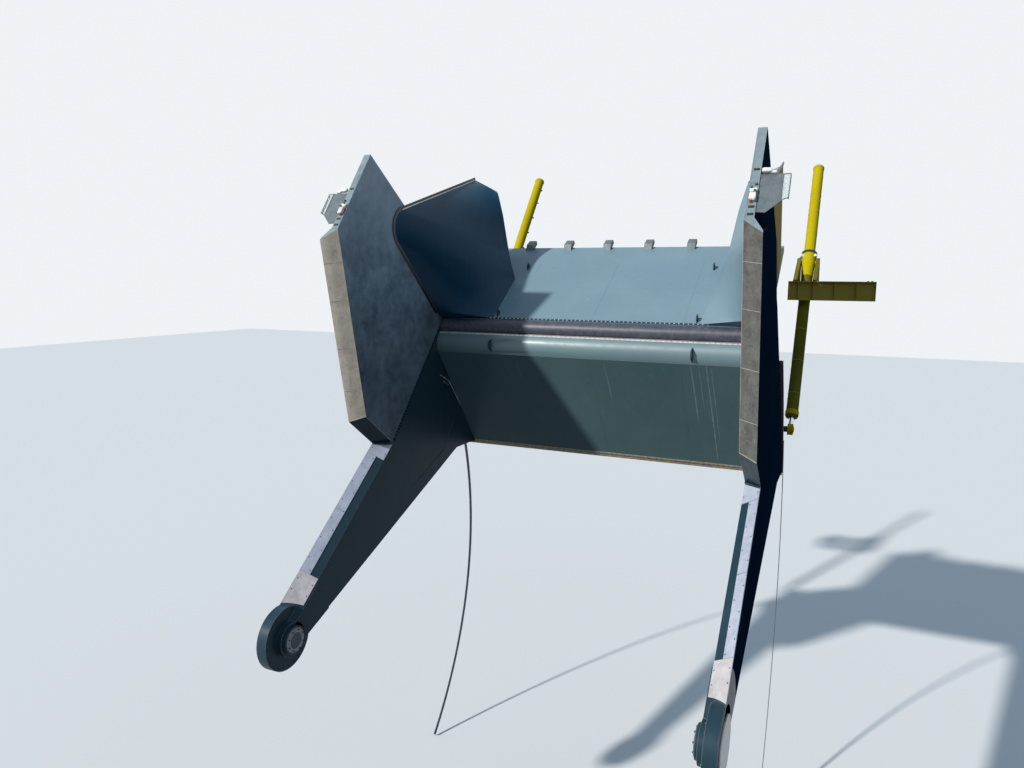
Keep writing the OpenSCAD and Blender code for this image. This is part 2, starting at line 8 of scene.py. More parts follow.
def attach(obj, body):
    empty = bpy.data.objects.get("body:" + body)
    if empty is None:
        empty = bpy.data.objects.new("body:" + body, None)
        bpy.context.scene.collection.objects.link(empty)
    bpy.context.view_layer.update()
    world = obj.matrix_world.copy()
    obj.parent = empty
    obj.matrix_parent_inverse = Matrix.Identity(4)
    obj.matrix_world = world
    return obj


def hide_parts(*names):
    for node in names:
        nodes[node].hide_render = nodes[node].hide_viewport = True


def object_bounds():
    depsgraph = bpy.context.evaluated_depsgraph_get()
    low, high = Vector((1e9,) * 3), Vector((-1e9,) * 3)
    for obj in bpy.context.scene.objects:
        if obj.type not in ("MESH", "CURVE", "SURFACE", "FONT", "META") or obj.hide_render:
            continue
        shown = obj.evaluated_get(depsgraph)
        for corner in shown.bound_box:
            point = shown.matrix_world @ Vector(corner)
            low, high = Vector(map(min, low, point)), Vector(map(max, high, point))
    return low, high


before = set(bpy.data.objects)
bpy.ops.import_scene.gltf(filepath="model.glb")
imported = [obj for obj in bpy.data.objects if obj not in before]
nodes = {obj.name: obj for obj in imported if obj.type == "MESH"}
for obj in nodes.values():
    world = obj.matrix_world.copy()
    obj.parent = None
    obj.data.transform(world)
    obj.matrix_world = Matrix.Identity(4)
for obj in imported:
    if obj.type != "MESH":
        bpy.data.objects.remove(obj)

cad_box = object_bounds()
random.seed(11)

# Everything is in metres. Points of the side view are (y, z) from the trunnion axis, and x counts across
# the bay from the left pier face. The left side is built here, and the right side is its mirror image.
BAY = 10.9
ARM_OUT, ARM_IN = 0.035, 0.445      # pier side and channel side of arms and shields
THIN_OUT, BOX_IN = 0.245, 0.425     # pier side of the thin cap; channel side of the painted box
BEVEL, ARM_BEVEL = 0.255, 0.34      # how far the upstream edges of shields and arms slope back
SIDES = ("left_", "right_")
X_AXIS, Z_AXIS = Vector((1, 0, 0)), Vector((0, 0, 1))


def polar(r, a):
    a = math.radians(a)
    return Vector((r * math.cos(a), r * math.sin(a)))


def right_of(v):
    return Vector((v.y, -v.x))


def crossing(p, q, r, s):
    """Where the line p-q meets the line r-s."""
    t = (r - p).cross(s - r) / (q - p).cross(s - r)
    return p + t * (q - p)


def on_line(p, direction, reach):
    """The point of a line through p that has the given reach from the axis along its direction."""
    return p + direction * (reach - p.dot(direction))


def xyz(x, p):
    return Vector((x, *p))


# Leaf and nose
HINGE = polar(10.62, 43.7)
LEAF_IN, LEAF_A = 10.38, 17.3
LOW_EDGE = polar(10.4, LEAF_A)
NOSE_C, NOSE_R = HINGE + Vector((0.02, -0.54)), 0.45
chord = NOSE_C - LOW_EDGE
PANEL_LEN = math.sqrt(chord.length ** 2 - NOSE_R ** 2)
PANEL_DIR = polar(1, math.degrees(math.atan2(chord.y, chord.x) + math.asin(NOSE_R / chord.length)))
PANEL_IN = right_of(PANEL_DIR)

# Shield: its corners on the channel side, then on the pier side of the bevel, then those of the thick box
TIP = HINGE + polar(6.22, 129.4)
KINK = HINGE + polar(6.117, 153.3)
LOW = HINGE + polar(4.95, 207.5)
FOOT = HINGE + polar(4.49, 226.2)
CORNER = HINGE + polar(0.215, 150)
NEAR_DIR, FOOT_DIR = (LOW - KINK).normalized(), (FOOT - LOW).normalized()
NEAR_OUT, FOOT_OUT = right_of(NEAR_DIR), right_of(FOOT_DIR)
ARM_DIR, ARM_LOW_DIR = polar(1, 38.8), polar(1, 22)
ARM_SIDE, ARM_LOW_SIDE = right_of(ARM_DIR), right_of(ARM_LOW_DIR)
CAP_DIR = (TIP - KINK).normalized()
CAP_UP = -right_of(CAP_DIR)
OUT_KINK = KINK + BEVEL * NEAR_OUT
OUT_LOW = LOW + BEVEL * (NEAR_OUT + FOOT_OUT) / (1 + NEAR_OUT.dot(FOOT_OUT))
arm_edge = FOOT - BEVEL * ARM_SIDE
OUT_FOOT = crossing(OUT_LOW, OUT_LOW + FOOT_DIR, arm_edge, arm_edge + ARM_DIR)
BOX_NOSE = crossing(OUT_KINK, OUT_KINK + NEAR_DIR, KINK, KINK + CAP_DIR)
BOX_REAR_TOP = HINGE + polar(5.21, 148)
BOX_REAR_MID = HINGE + polar(2.15, 154)
BOX_REAR_LOW = HINGE + polar(1.585, 280)
SHIELD_JOINT = crossing(FOOT, CORNER, BOX_REAR_MID, BOX_REAR_LOW)
SHIELD_REAR_TOP = HINGE + polar(2.64, 107)
SHIELD_REAR_LOW = HINGE + polar(0.70, 60)
SHIELD_OUTLINE = [TIP, BOX_NOSE, OUT_LOW, OUT_FOOT, FOOT, SHIELD_JOINT, CORNER, SHIELD_REAR_LOW,
                  SHIELD_REAR_TOP]

# Arm and hub
ARM_KNEE = polar(9.104, 20.08)
FOOT_REACH = OUT_FOOT.dot(ARM_DIR)
ROOT_TOP = on_line(OUT_FOOT, ARM_DIR, 0.199)
ROOT_LOW = on_line(ARM_KNEE, ARM_LOW_DIR, 0.094)
STUB_R, STUB_FACE = 1.45, ARM_IN + 0.03
STUB_TOP = on_line(ROOT_TOP, ARM_DIR, math.sqrt(STUB_R ** 2 - ARM_SIDE.dot(ROOT_TOP) ** 2))
STUB_LOW = on_line(ROOT_LOW, ARM_LOW_DIR, math.sqrt(STUB_R ** 2 - ARM_LOW_SIDE.dot(ROOT_LOW) ** 2))
BORE_R, RECESS_R, SLEEVE_R, HUB_R = 0.203, 0.35, 0.44, 0.80
HUB_FACE = ARM_OUT + 0.29
SLEEVE_FACE = HUB_FACE + 0.22

# Flap, hoist and beams
FLAP_DIR, FLAP_UP = polar(1, 32), polar(1, 122)
FLAP_ROOT = HINGE + 0.26 * FLAP_UP
FLAP_X0, FLAP_X1 = ARM_IN + 0.025, BAY - ARM_IN - 0.025
PIVOT, HOIST_X = Vector((14.35, 9.45)), -0.1
HOIST_DIR = polar(1, 52.45)
ROD_EYE = PIVOT - 6.43 * HOIST_DIR
BEAM_Y0, BEAM_Y1 = 13.13, 14.41
BEAM_LOW, BEAM_TOP = 8.22, 8.84
BEAM_X0 = ARM_IN - 2.665


# Materials
def fill(nt, n, values):
    """Sets inputs of a node, by name or number, to values or links them to outputs."""
    for key, val in values.items():
        sock = n.inputs[key]
        if isinstance(val, bpy.types.NodeSocket):
            nt.links.new(val, sock)
        else:
            sock.default_value = (*val, 1) if sock.type == "RGBA" else val
    return n


def node(nt, kind, values):
    return fill(nt, nt.nodes.new(kind), values)


def new_mat(name):
    m = bpy.data.materials.new(name)
    m.use_nodes = True
    nt = m.node_tree
    nt.nodes.clear()
    b = nt.nodes.new("ShaderNodeBsdfPrincipled")
    node(nt, "ShaderNodeOutputMaterial", {"Surface": b.outputs[0]})
    return m, nt, b


def coords(nt, scale=(1, 1, 1)):
    source = nt.nodes.new("ShaderNodeTexCoord").outputs["Object"]
    return node(nt, "ShaderNodeMapping", {"Vector": source, "Scale": scale}).outputs[0]


def noise(nt, vec, scale, detail=5, rough=0.55, distort=0.0):
    values = {"Vector": vec, "Scale": scale, "Detail": detail, "Roughness": rough, "Distortion": distort}
    return node(nt, "ShaderNodeTexNoise", values).outputs["Fac"]


def mix(nt, fac, a, b):
    m = nt.nodes.new("ShaderNodeMix")
    m.data_type = "RGBA"
    return fill(nt, m, {0: fac, 6: a, 7: b}).outputs[2]       # the factor and the colours


def maths(nt, op, a, b):
    m = node(nt, "ShaderNodeMath", {0: a, 1: b})
    m.operation = op
    return m.outputs[0]


def weighed(nt, a, by_a, b, by_b):
    return maths(nt, "ADD", maths(nt, "MULTIPLY", a, by_a), maths(nt, "MULTIPLY", b, by_b))


def span(nt, fac, lo, hi, to0=0.0, to1=1.0):
    return node(nt, "ShaderNodeMapRange", {0: fac, 1: lo, 2: hi, 3: to0, 4: to1}).outputs[0]


def bump(nt, height, strength, dist):
    return node(nt, "ShaderNodeBump", {"Height": height, "Strength": strength, "Distance": dist}).outputs[0]


def tone(colour, by, add=0.0):
    return tuple(min(1, c * by + add) for c in colour)


def worn_edges(nt):
    """Rises to 1 within 12 mm of a sharp edge."""
    rounded = node(nt, "ShaderNodeBevel", {"Radius": 0.012})
    rounded.samples = 4
    flat = nt.nodes.new("ShaderNodeNewGeometry").outputs["Normal"]
    dot = node(nt, "ShaderNodeVectorMath", {0: rounded.outputs[0], 1: flat})
    dot.operation = "DOT_PRODUCT"
    return span(nt, dot.outputs["Value"], 0.995, 0.93)


def paint(name, base, light, rough, shine, edge=(0.30, 0.34, 0.36), streak=0.3, coat=0.0):
    """Two-pack paint with faint cloudy patches, water streaks and rubbed edges."""
    m, nt, b = new_mat(name)
    v = coords(nt)
    clouds, fine = noise(nt, v, 0.35, 4), noise(nt, v, 9, 6)
    runs = noise(nt, coords(nt, (3.2, 3.2, 0.16)), 1.6, 5, 0.6)
    col = mix(nt, span(nt, clouds, 0.35, 0.68), base, light)
    col = mix(nt, span(nt, runs, 0.56, 0.78, 0, streak), col, tone(light, 1.6, 0.02))
    col = mix(nt, span(nt, fine, 0.62, 0.8, 0, 0.25), col, tone(base, 0.6))
    col = mix(nt, maths(nt, "MULTIPLY", worn_edges(nt), 0.55), col, edge)
    haze = span(nt, weighed(nt, runs, 0.5, fine, 0.5), 0.3, 0.75, rough, rough + 0.2)
    fill(nt, b, {"Base Color": col, "Roughness": haze, "Specular IOR Level": shine, "Coat Weight": coat,
                 "Coat Roughness": 0.12, "Normal": bump(nt, noise(nt, v, 0.8, 3), 0.25, 0.01)})
    return m


def steel(name, dark, light, rough, metal, cloud, shine=0.3, rust=0.0, runs_by=0.45, marks=None):
    """Blasted, rolled or galvanised steel: mottled, with fine scratches, water runs and rust."""
    m, nt, b = new_mat(name)
    v = coords(nt)
    big, mid = noise(nt, v, cloud, 7, 0.62, 0.4), noise(nt, v, cloud * 5, 6, 0.6)
    fine = noise(nt, v, 26, 5, 0.6)
    runs = noise(nt, coords(nt, (4.0, 4.0, 0.22)), 1.7, 6, 0.6)
    col = mix(nt, span(nt, weighed(nt, big, 0.6, mid, 0.4), 0.36, 0.64), dark, light)
    col = mix(nt, span(nt, runs, 0.52, 0.75, 0, runs_by), col, tone(dark, 0.55))
    col = mix(nt, span(nt, fine, 0.55, 0.8, 0, 0.3), col, tone(light, 1.35))
    if rust:
        col = mix(nt, span(nt, noise(nt, v, 2.3, 8, 0.7), 0.58, 0.74, 0, rust), col, (0.16, 0.085, 0.045))
    if marks:
        col = marks(nt, v, col, dark, light)
    grain = span(nt, weighed(nt, mid, 0.5, fine, 0.5), 0.3, 0.7, rough - 0.1, rough + 0.15)
    fill(nt, b, {"Base Color": col, "Roughness": grain, "Specular IOR Level": shine, "Metallic": metal,
                 "Normal": bump(nt, weighed(nt, fine, 0.3, mid, 1.0), 0.12, 0.01)})
    return m


def shield_joints_and_painted_light(nt, v, col, dark, light):
    """Plate joints, and painted light: painted shade at the foot and a paler, cooler painted sky light towards
    the top.
    """
    axes = node(nt, "ShaderNodeSeparateXYZ", {0: v}).outputs
    side_view = node(nt, "ShaderNodeCombineXYZ", {"X": axes["Z"], "Y": axes["Y"]}).outputs[0]
    leaning = {"Vector": side_view, "Rotation": (0, 0, math.radians(11))}
    plates = {"Scale": 1.0, "Mortar Size": 0.008, "Brick Width": 2.6, "Row Height": 1.25}
    plates["Vector"] = node(nt, "ShaderNodeMapping", leaning).outputs[0]
    joints = node(nt, "ShaderNodeTexBrick", plates)
    joints.offset = 0.5
    col = mix(nt, maths(nt, "MULTIPLY", joints.outputs["Fac"], 0.35), col, tone(dark, 0.5))
    shade_foot_z, middle, sky_lit_top_z = 4.2, 8.2, 12.0
    # painted shade darkens the foot, and painted sky light lightens and cools the top
    col = mix(nt, span(nt, axes["Z"], shade_foot_z, middle, 0.55, 0), col, tone(dark, 0.6))
    return mix(nt, span(nt, axes["Z"], middle, sky_lit_top_z, 0, 0.5), col, tone(light, 1.25))


def rubber(name, col, rough=0.6, dusty=0.3):
    """Rubber or plastic with lighter mottling and dust."""
    m, nt, b = new_mat(name)
    v = coords(nt)
    n = noise(nt, v, 7, 5)
    c = mix(nt, span(nt, n, 0.4, 0.7), col, tone(col, 1.7, 0.01))
    c = mix(nt, span(nt, noise(nt, v, 1.4, 6, 0.65), 0.55, 0.75, 0, dusty), c, (0.16, 0.15, 0.135))
    fill(nt, b, {"Base Color": c, "Roughness": rough, "Normal": bump(nt, n, 0.1, 0.004)})
    return m


def clear_pane(name):
    """A thin clear plastic pane, slightly milky."""
    m, nt, b = new_mat(name)
    fill(nt, b, {"Base Color": (0.80, 0.86, 0.88), "Transmission Weight": 0.8, "IOR": 1.12,
                 "Roughness": span(nt, noise(nt, coords(nt), 3, 4), 0.35, 0.7, 0.05, 0.25)})
    return m


# Paints: dark and light tone, roughness, shine
NAVY = paint("navy_gloss", (0.014, 0.040, 0.060), (0.026, 0.056, 0.080), 0.3, 0.12)
# a darker, matt copy of the navy for the faces towards the pier: painted shade
NAVY_SIDE = paint("navy_side", (0.006, 0.018, 0.044), (0.010, 0.026, 0.058), 0.6, 0.0,
                  edge=(0.05, 0.06, 0.08), streak=0.05)
TEAL = paint("teal_gloss", (0.092, 0.170, 0.190), (0.118, 0.202, 0.222), 0.24, 0.05, streak=0.15)
# the teal made a little lighter for the nose, under a glossy coat: partly painted highlight
NOSEPAINT = paint("nose_gloss", (0.100, 0.182, 0.205), (0.128, 0.216, 0.240), 0.36, 0.7, streak=0.1, coat=0.7)
FLAPBLUE = paint("flap_blue", (0.165, 0.262, 0.325), (0.200, 0.300, 0.365), 0.38, 0.2, streak=0.15)
# the flap's paint darkened to navy for the fins: painted shade and painted reflection
FIN = paint("fin_navy", (0.004, 0.044, 0.090), (0.010, 0.062, 0.118), 0.24, 0.12)
YELLOW = paint("hoist_yellow", (0.46, 0.365, 0.006), (0.53, 0.435, 0.009), 0.42, 0.01,
               edge=(0.35, 0.33, 0.22), streak=0.12)
# the hoist yellow greyed to olive for the beam and its stiffeners: painted shade
OLIVE = paint("beam_yellow", (0.44, 0.34, 0.065), (0.55, 0.43, 0.085), 0.45, 0.05,
              edge=(0.30, 0.25, 0.12), streak=0.2)
# the hoist yellow darkened, for the barrel below the beam and the stools: painted shade
YELLOW_SHADED = paint("hoist_yellow_low", (0.125, 0.115, 0.012), (0.185, 0.165, 0.020), 0.5, 0.02,
                    edge=(0.16, 0.15, 0.06), streak=0.2)
OCHRE = paint("fin_outer_ochre", (0.26, 0.175, 0.012), (0.36, 0.24, 0.02), 0.5, 0.05,
              edge=(0.3, 0.26, 0.16), streak=0.2)

# Metals: dark and light tone, roughness, metallic, size of the clouds, shine
SHIELD = steel("shield_steel", (0.075, 0.108, 0.148), (0.265, 0.340, 0.415), 0.5, 0.3, 0.8, 0.12,
               runs_by=0.15, marks=shield_joints_and_painted_light)
NEAR = steel("edge_steel", (0.400, 0.370, 0.315), (0.590, 0.545, 0.470), 0.66, 0.05, 2.4, 0.1, rust=0.35)
NEAR_RIGHT = steel("edge_steel_worn", (0.105, 0.108, 0.104), (0.215, 0.212, 0.200), 0.66, 0.05, 3.4, 0.05,
                   rust=0.55)
CAPGREY = steel("cap_grey", (0.185, 0.245, 0.275), (0.265, 0.335, 0.370), 0.55, 0.1, 1.2, 0.1)
WEAR = steel("wear_plate", (0.40, 0.45, 0.56), (0.56, 0.60, 0.70), 0.45, 0.15, 1.8, 0.15)
WEARPINK = steel("wear_plate_low", (0.50, 0.47, 0.49), (0.68, 0.65, 0.67), 0.45, 0.15, 1.5, 0.15)
BRIGHT = steel("bright_clamp", (0.62, 0.63, 0.64), (0.80, 0.81, 0.82), 0.35, 0.4, 4)
STAINLESS = steel("stainless", (0.30, 0.31, 0.32), (0.46, 0.47, 0.48), 0.34, 0.75, 2.5)
CHROME = steel("rod_chrome", (0.60, 0.61, 0.62), (0.72, 0.73, 0.74), 0.14, 1.0, 3)
GALV = steel("galvanised", (0.115, 0.145, 0.160), (0.185, 0.220, 0.235), 0.5, 0.25, 5, 0.1)
MACHINED = steel("machined_steel", (0.14, 0.16, 0.18), (0.24, 0.26, 0.28), 0.4, 0.35, 4)
TRACK = steel("track_steel", (0.075, 0.085, 0.090), (0.150, 0.165, 0.170), 0.45, 0.2, 2.5, 0.1)
DARKBOLT = steel("dark_bolt", (0.020, 0.035, 0.050), (0.05, 0.07, 0.09), 0.35, 0.3, 6)

# Rubbers and plastics: tone, roughness, dust
BLACK = rubber("seal_rubber", (0.006, 0.007, 0.010), 0.4, 0.08)
BEIGE = rubber("beige_seal", (0.34, 0.28, 0.20))
TUBEMAT = rubber("hinge_tube_dark", (0.040, 0.044, 0.066), 0.45)
WHITE = rubber("white_fitting", (0.62, 0.62, 0.60), 0.4)
ORANGE = rubber("orange_fitting", (0.62, 0.13, 0.03), 0.45)
DRIP = rubber("dried_drip", (0.16, 0.20, 0.20), 0.5)
PANE = clear_pane("cover_pane")

node_mat = {
    "arm": NAVY, "trunnion_hub": NAVY, "shield_box": NAVY_SIDE, "shield_plate": SHIELD, "end_plate": NAVY,
    "wear_plates": WEAR, "guide_cover": GALV, "side_seal": BLACK, "fin": FIN, "fin_seal": BLACK,
    "barrel": YELLOW, "rod": CHROME, "trunnion_anchor": STAINLESS, "seal_track": TRACK,
    "hoist_beam": OLIVE, "hoist_stools": YELLOW_SHADED, "front_plate": TEAL, "nose": NOSEPAINT, "back_skin": NAVY,
    "hinge_seat": STAINLESS, "bottom_seal": BEIGE, "nose_lugs": NAVY, "torsion_tube": TUBEMAT,
    "flap_skin": FLAPBLUE, "flap_ribs": NAVY, "nappe_breakers": GALV, "flap_lugs": DARKBOLT,
}
for name, obj in nodes.items():
    key = name.replace("left_", "").replace("right_", "")
    obj.data.materials.clear()
    obj.data.materials.append(node_mat[key])
    for p in obj.data.polygons:
        p.material_index = 0


def faces_to(obj, material, test):
    """Gives the faces that pass the test a material of their own."""
    obj.data.materials.append(material)
    k = len(obj.data.materials) - 1
    for p in obj.data.polygons:
        if test(p):
            p.material_index = k


for side in SIDES:
    # the barrel below the beam in a darker yellow as painted shade, the pin ends in the trunnion anchors dark
    # as painted shade in the hub's recess, the yellow eye of the rod
    faces_to(nodes[side + "barrel"], YELLOW_SHADED, lambda p: p.center.z < 9.0)
    # the dark pin ends stand for the shade inside the hub's recess: painted shade
    faces_to(nodes[side + "trunnion_anchor"], DARKBOLT, lambda p: 0.3 < p.center.x < BAY - 0.3)
    faces_to(nodes[side + "rod"], YELLOW, lambda p: (p.center.yz - ROD_EYE).length < 0.19)


# Mesh helpers
def merge(bm, other):
    tmp = bpy.data.meshes.new("tmp")
    other.to_mesh(tmp)
    other.free()
    bm.from_mesh(tmp)
    bpy.data.meshes.remove(tmp)


def mirror(bm):
    bmesh.ops.recalc_face_normals(bm, faces=bm.faces)
    for v in bm.verts:
        v.co.x = BAY - v.co.x
    bmesh.ops.reverse_faces(bm, faces=bm.faces[:])


def finish_mesh(name, bm, material, body):
    """Makes the object, smooth except at its sharp edges."""
    me = bpy.data.meshes.new(name)
    bm.to_mesh(me)
    bm.free()
    for p in me.polygons:
        p.use_smooth = True
    me.set_sharp_from_angle(angle=math.radians(32))
    me.materials.append(material)
    o = bpy.data.objects.new(name, me)
    bpy.context.scene.collection.objects.link(o)
    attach(o, body)
    return o


def single(name, build, material, body):
    """One piece across the bay."""
    bm = bmesh.new()
    build(bm)
    bmesh.ops.recalc_face_normals(bm, faces=bm.faces)
    finish_mesh(name, bm, material, body)


def sided(name, build, material, bodies, replaces=None):
    """The same piece on the left side and mirrored on the right side."""
    made = []
    for side, body in zip(SIDES, bodies):
        bm = bmesh.new()
        build(bm)
        if side == "right_":
            mirror(bm)
        else:
            bmesh.ops.recalc_face_normals(bm, faces=bm.faces)
        o = finish_mesh(side + name, bm, material, body)
        if replaces:
            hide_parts(side + replaces)
        made.append(o)
    return made


def side_of(o):
    return 1 if o.name.startswith("left_") else -1


def skin(bm, a, b):
    """Faces between two rings of vertices."""
    for i in range(len(a)):
        j = (i + 1) % len(a)
        bm.faces.new((a[i], a[j], b[j], b[i]))


def slab(bm, under, over):
    """A solid between two outlines; gives the face on the second one."""
    under, over = [bm.verts.new(p) for p in under], [bm.verts.new(p) for p in over]
    bm.faces.new(under)
    top = bm.faces.new(over[::-1])
    for i in range(len(under)):
        j = (i + 1) % len(under)
        bm.faces.new((under[j], under[i], over[i], over[j]))
    return top


def soften(bm, edges, by):
    bmesh.ops.bevel(bm, geom=list(edges), offset=by, segments=2, affect="EDGES")


def turned(bm, prof, place, segs, start=0.0):
    """A turned form from a (radius, height) profile; place puts radius, height and angle into space."""
    angles = [start + 2 * math.pi * i / segs for i in range(segs)]
    rings = [[bm.verts.new(place(r, h, a)) for a in angles] for r, h in prof]
    for a, b in zip(rings, rings[1:]):
        skin(bm, a, b)
    return rings[-1]


def about_z(r, h, a):
    return r * math.cos(a), r * math.sin(a), h


def about_x(r, h, a):
    return h, r * math.cos(a), r * math.sin(a)


def basis(normal, along=None):
    """A turn that lays z along the normal, and x as near to along as it can."""
    n = Vector(normal).normalized()
    if along is None:
        along = Z_AXIS if abs(n.z) < 0.9 else X_AXIS
    t = Vector(along).normalized()
    t = (t - n * t.dot(n)).normalized()
    return Matrix((t, n.cross(t), n)).transposed().to_4x4()


def put(bm, fresh, at, turn):
    fresh.transform(Matrix.Translation(Vector(at)) @ turn)
    merge(bm, fresh)


def add_bolt(bm, at, normal, r, h, washer=True):
    """A hexagon head with a broken top edge, on a washer."""
    fresh = bmesh.new()
    spin = math.radians(random.uniform(0, 60))
    base = 0.0
    if washer:
        base = 0.18 * h
        fresh.faces.new(turned(fresh, [(1.28 * r, 0), (1.24 * r, base)], about_z, 16))
    head = [(r, base), (r, base + 0.75 * h), (0.86 * r, base + h)]
    fresh.faces.new(turned(fresh, head, about_z, 6, spin))
    put(bm, fresh, at, basis(normal))


def add_disc(bm, at, normal, r, h, segs, bevel=0.15):
    """A low round head or cap with a rounded rim."""
    fresh = bmesh.new()
    prof = ((1, 0), (1, 1 - 2 * bevel), (1 - 0.4 * bevel, 1 - 0.6 * bevel), (1 - bevel, 1))
    fresh.faces.new(turned(fresh, [(r * k, h * up) for k, up in prof], about_z, segs))
    put(bm, fresh, at, basis(normal))


def add_box(bm, centre, size, along, normal, bevel=0.1):
    """A block with softened edges; bevel is a share of its size."""
    fresh = bmesh.new()
    bmesh.ops.create_cube(fresh, size=1.0)
    soften(fresh, fresh.edges, bevel)
    put(bm, fresh, centre, basis(normal, along) @ Matrix.Diagonal((*size, 1)))


def add_prism(bm, outline, x0, x1, chamfer=0.0):
    """A flat plate across X with a (y, z) outline and slightly broken edges."""
    fresh = bmesh.new()
    slab(fresh, [xyz(x0, p) for p in outline], [xyz(x1, p) for p in outline])
    if chamfer:
        soften(fresh, fresh.edges, chamfer)
    merge(bm, fresh)


def dense(a, b, n):
    return [Vector(a).lerp(Vector(b), i / n) for i in range(n + 1)]


def weld(bm, a, b, r, ripple, step):
    """A weld bead from a to b; ripple gives it its scales."""
    a, b, sides = Vector(a), Vector(b), 6
    along = (b - a).normalized()
    side = along.cross(Vector((0.13, 0.31, 0.94))).normalized()
    up = along.cross(side)
    rings = []
    for i, p in enumerate(dense(a, b, max(1, int((b - a).length / step)))):
        rr = r * (1 + (ripple if i % 2 else -ripple) + random.uniform(-ripple, ripple) * 0.4)
        angles = [2 * math.pi * k / sides for k in range(sides)]
        rings.append([bm.verts.new(p + rr * (math.cos(t) * side + math.sin(t) * up)) for t in angles])
    for ring, following in zip(rings, rings[1:]):
        skin(bm, ring, following)
    bm.faces.new(rings[0])
    bm.faces.new(rings[-1])


def rect(x0, x1, y0, y1):
    return [(x0, y0), (x1, y0), (x1, y1), (x0, y1)]


def spread(x0, x1, n):
    """n places from x0 to x1."""
    return [x0 + i * (x1 - x0) / (n - 1) for i in range(n)]


def band(centre, r0, r1, a0, a1):
    """The outline of a strip between two radii and two angles."""
    angles = spread(a0, a1, 5)
    return [centre + polar(r0, a) for a in angles] + [centre + polar(r1, a) for a in angles[::-1]]


def cut_off(bm, at, normal):
    """Cuts away what lies beyond a plane and closes the cut."""
    geom = bm.verts[:] + bm.edges[:] + bm.faces[:]
    cut = bmesh.ops.bisect_plane(bm, geom=geom, plane_co=at, plane_no=normal, clear_outer=True)["geom_cut"]
    edges = [e for e in cut if isinstance(e, bmesh.types.BMEdge)]
    if edges:
        bmesh.ops.holes_fill(bm, edges=edges, sides=0)


def bevel_plane(at, direction, back):
    """A point and the outward normal of a surface that slopes back from pier side to channel side."""
    out = -right_of(direction) * (ARM_IN - ARM_OUT)
    return xyz(ARM_OUT, at), xyz(back, out).normalized()


def add_solid(bm, outline, x0, x1, *cuts):
    """A plate across X that is cut by planes."""
    fresh = bmesh.new()
    add_prism(fresh, outline, x0, x1)
    bmesh.ops.recalc_face_normals(fresh, faces=fresh.faces)
    for at, normal in cuts:
        cut_off(fresh, at, normal)
    merge(bm, fresh)


# The bodies of the left and the right piece
GATES = ("gate", "gate")
FLAPS = ("flap", "flap")
CYLS = ("left_cylinder", "right_cylinder")
FIXED = ("fixed_steel", "fixed_steel")


# Shields: a painted box with a thin cap, and the bare steel face towards the channel
def on_cap(x, up, lift=0.0):
    """A point across the bay and up the shield's upper edge from the kink."""
    return xyz(x, KINK + CAP_DIR * up + CAP_UP * lift)


SHIELD_CUTS = (bevel_plane(OUT_LOW, -NEAR_DIR, BEVEL), bevel_plane(OUT_FOOT, -FOOT_DIR, BEVEL))


def shield_box(bm):
    add_solid(bm, SHIELD_OUTLINE, THIN_OUT, BOX_IN, *SHIELD_CUTS)
    thick = [BOX_NOSE, OUT_LOW, OUT_FOOT, FOOT, SHIELD_JOINT, BOX_REAR_MID, BOX_REAR_TOP]
    add_solid(bm, thick, ARM_OUT, THIN_OUT, *SHIELD_CUTS)
    # the slanted step from the thick box to the thin cap, 1 mm inside their faces
    step, inside = bmesh.new(), 0.001
    outline = [(ARM_OUT + inside, -0.40), (ARM_OUT + inside, -0.28), (THIN_OUT, 0.06), (THIN_OUT, -0.40)]
    slab(step, [on_cap(x, up, -0.60) for x, up in outline], [on_cap(x, up, -inside) for x, up in outline])
    bmesh.ops.recalc_face_normals(step, faces=step.faces)
    for at, normal in SHIELD_CUTS:
        cut_off(step, at - normal * 1.5 * inside, normal)
    merge(bm, step)


def shield_face(bm):
    add_solid(bm, SHIELD_OUTLINE, BOX_IN, ARM_IN, *SHIELD_CUTS)


def edge_colours(o):
    """Brown-grey upstream edge, dark navy on the downward foot facet as painted shade, and grey upper edge of a
    shield.
    """
    side = side_of(o)

    def sloped(p):
        return 0.2 < p.normal.x * side < 0.97

    faces_to(o, NEAR if side == 1 else NEAR_RIGHT, lambda p: sloped(p) and p.normal.z > -0.45)
    # the downward foot facet in dark navy: painted shade
    faces_to(o, NAVY, lambda p: sloped(p) and p.normal.z <= -0.45)
    faces_to(o, CAPGREY, lambda p: abs(p.normal.x) < 0.1 and p.normal.yz.dot(CAP_UP) > 0.98)


# the shield's box, its pier side in the darker, matt navy: painted shade
shells = sided("shield_shell", shield_box, NAVY_SIDE, GATES, replaces="shield_box")
for o in shells + sided("shield_steel", shield_face, SHIELD, GATES, replaces="shield_plate"):
    edge_colours(o)


# Arms: BEV_X and BEV_R are the shares of the bevel's slope across the bay and back from the edge
BEV_W = math.hypot(ARM_IN - ARM_OUT, ARM_BEVEL)
BEV_X = (ARM_IN - ARM_OUT) / BEV_W
BEV_R = ARM_BEVEL / BEV_W
BEV_N = xyz(BEV_R, -ARM_SIDE * BEV_X)
ARM_CUT = bevel_plane(OUT_FOOT, ARM_DIR, ARM_BEVEL)
SHOULDER = (FOOT - OUT_FOOT).dot(ARM_DIR) / BEV_W
SHOULDER_GAP = 0.04


def on_arm_bevel(s, w, lift):
    """The point at distance s back from the foot and w across from pier side to channel side."""
    return xyz(ARM_OUT + BEV_X * w, OUT_FOOT - s * ARM_DIR + ARM_SIDE * (BEV_R * w)) + BEV_N * lift


def shoulder_plane():
    """The slanted plane across the arm below the shield's foot, square to the bevel."""
    up = xyz(0, ARM_DIR)
    n = (xyz(BEV_X, ARM_SIDE * BEV_R) + up * SHOULDER).cross(ARM_CUT[1]).normalized()
    return xyz(ARM_OUT, OUT_FOOT - ARM_DIR * SHOULDER_GAP), n if n.dot(up) > 0 else -n


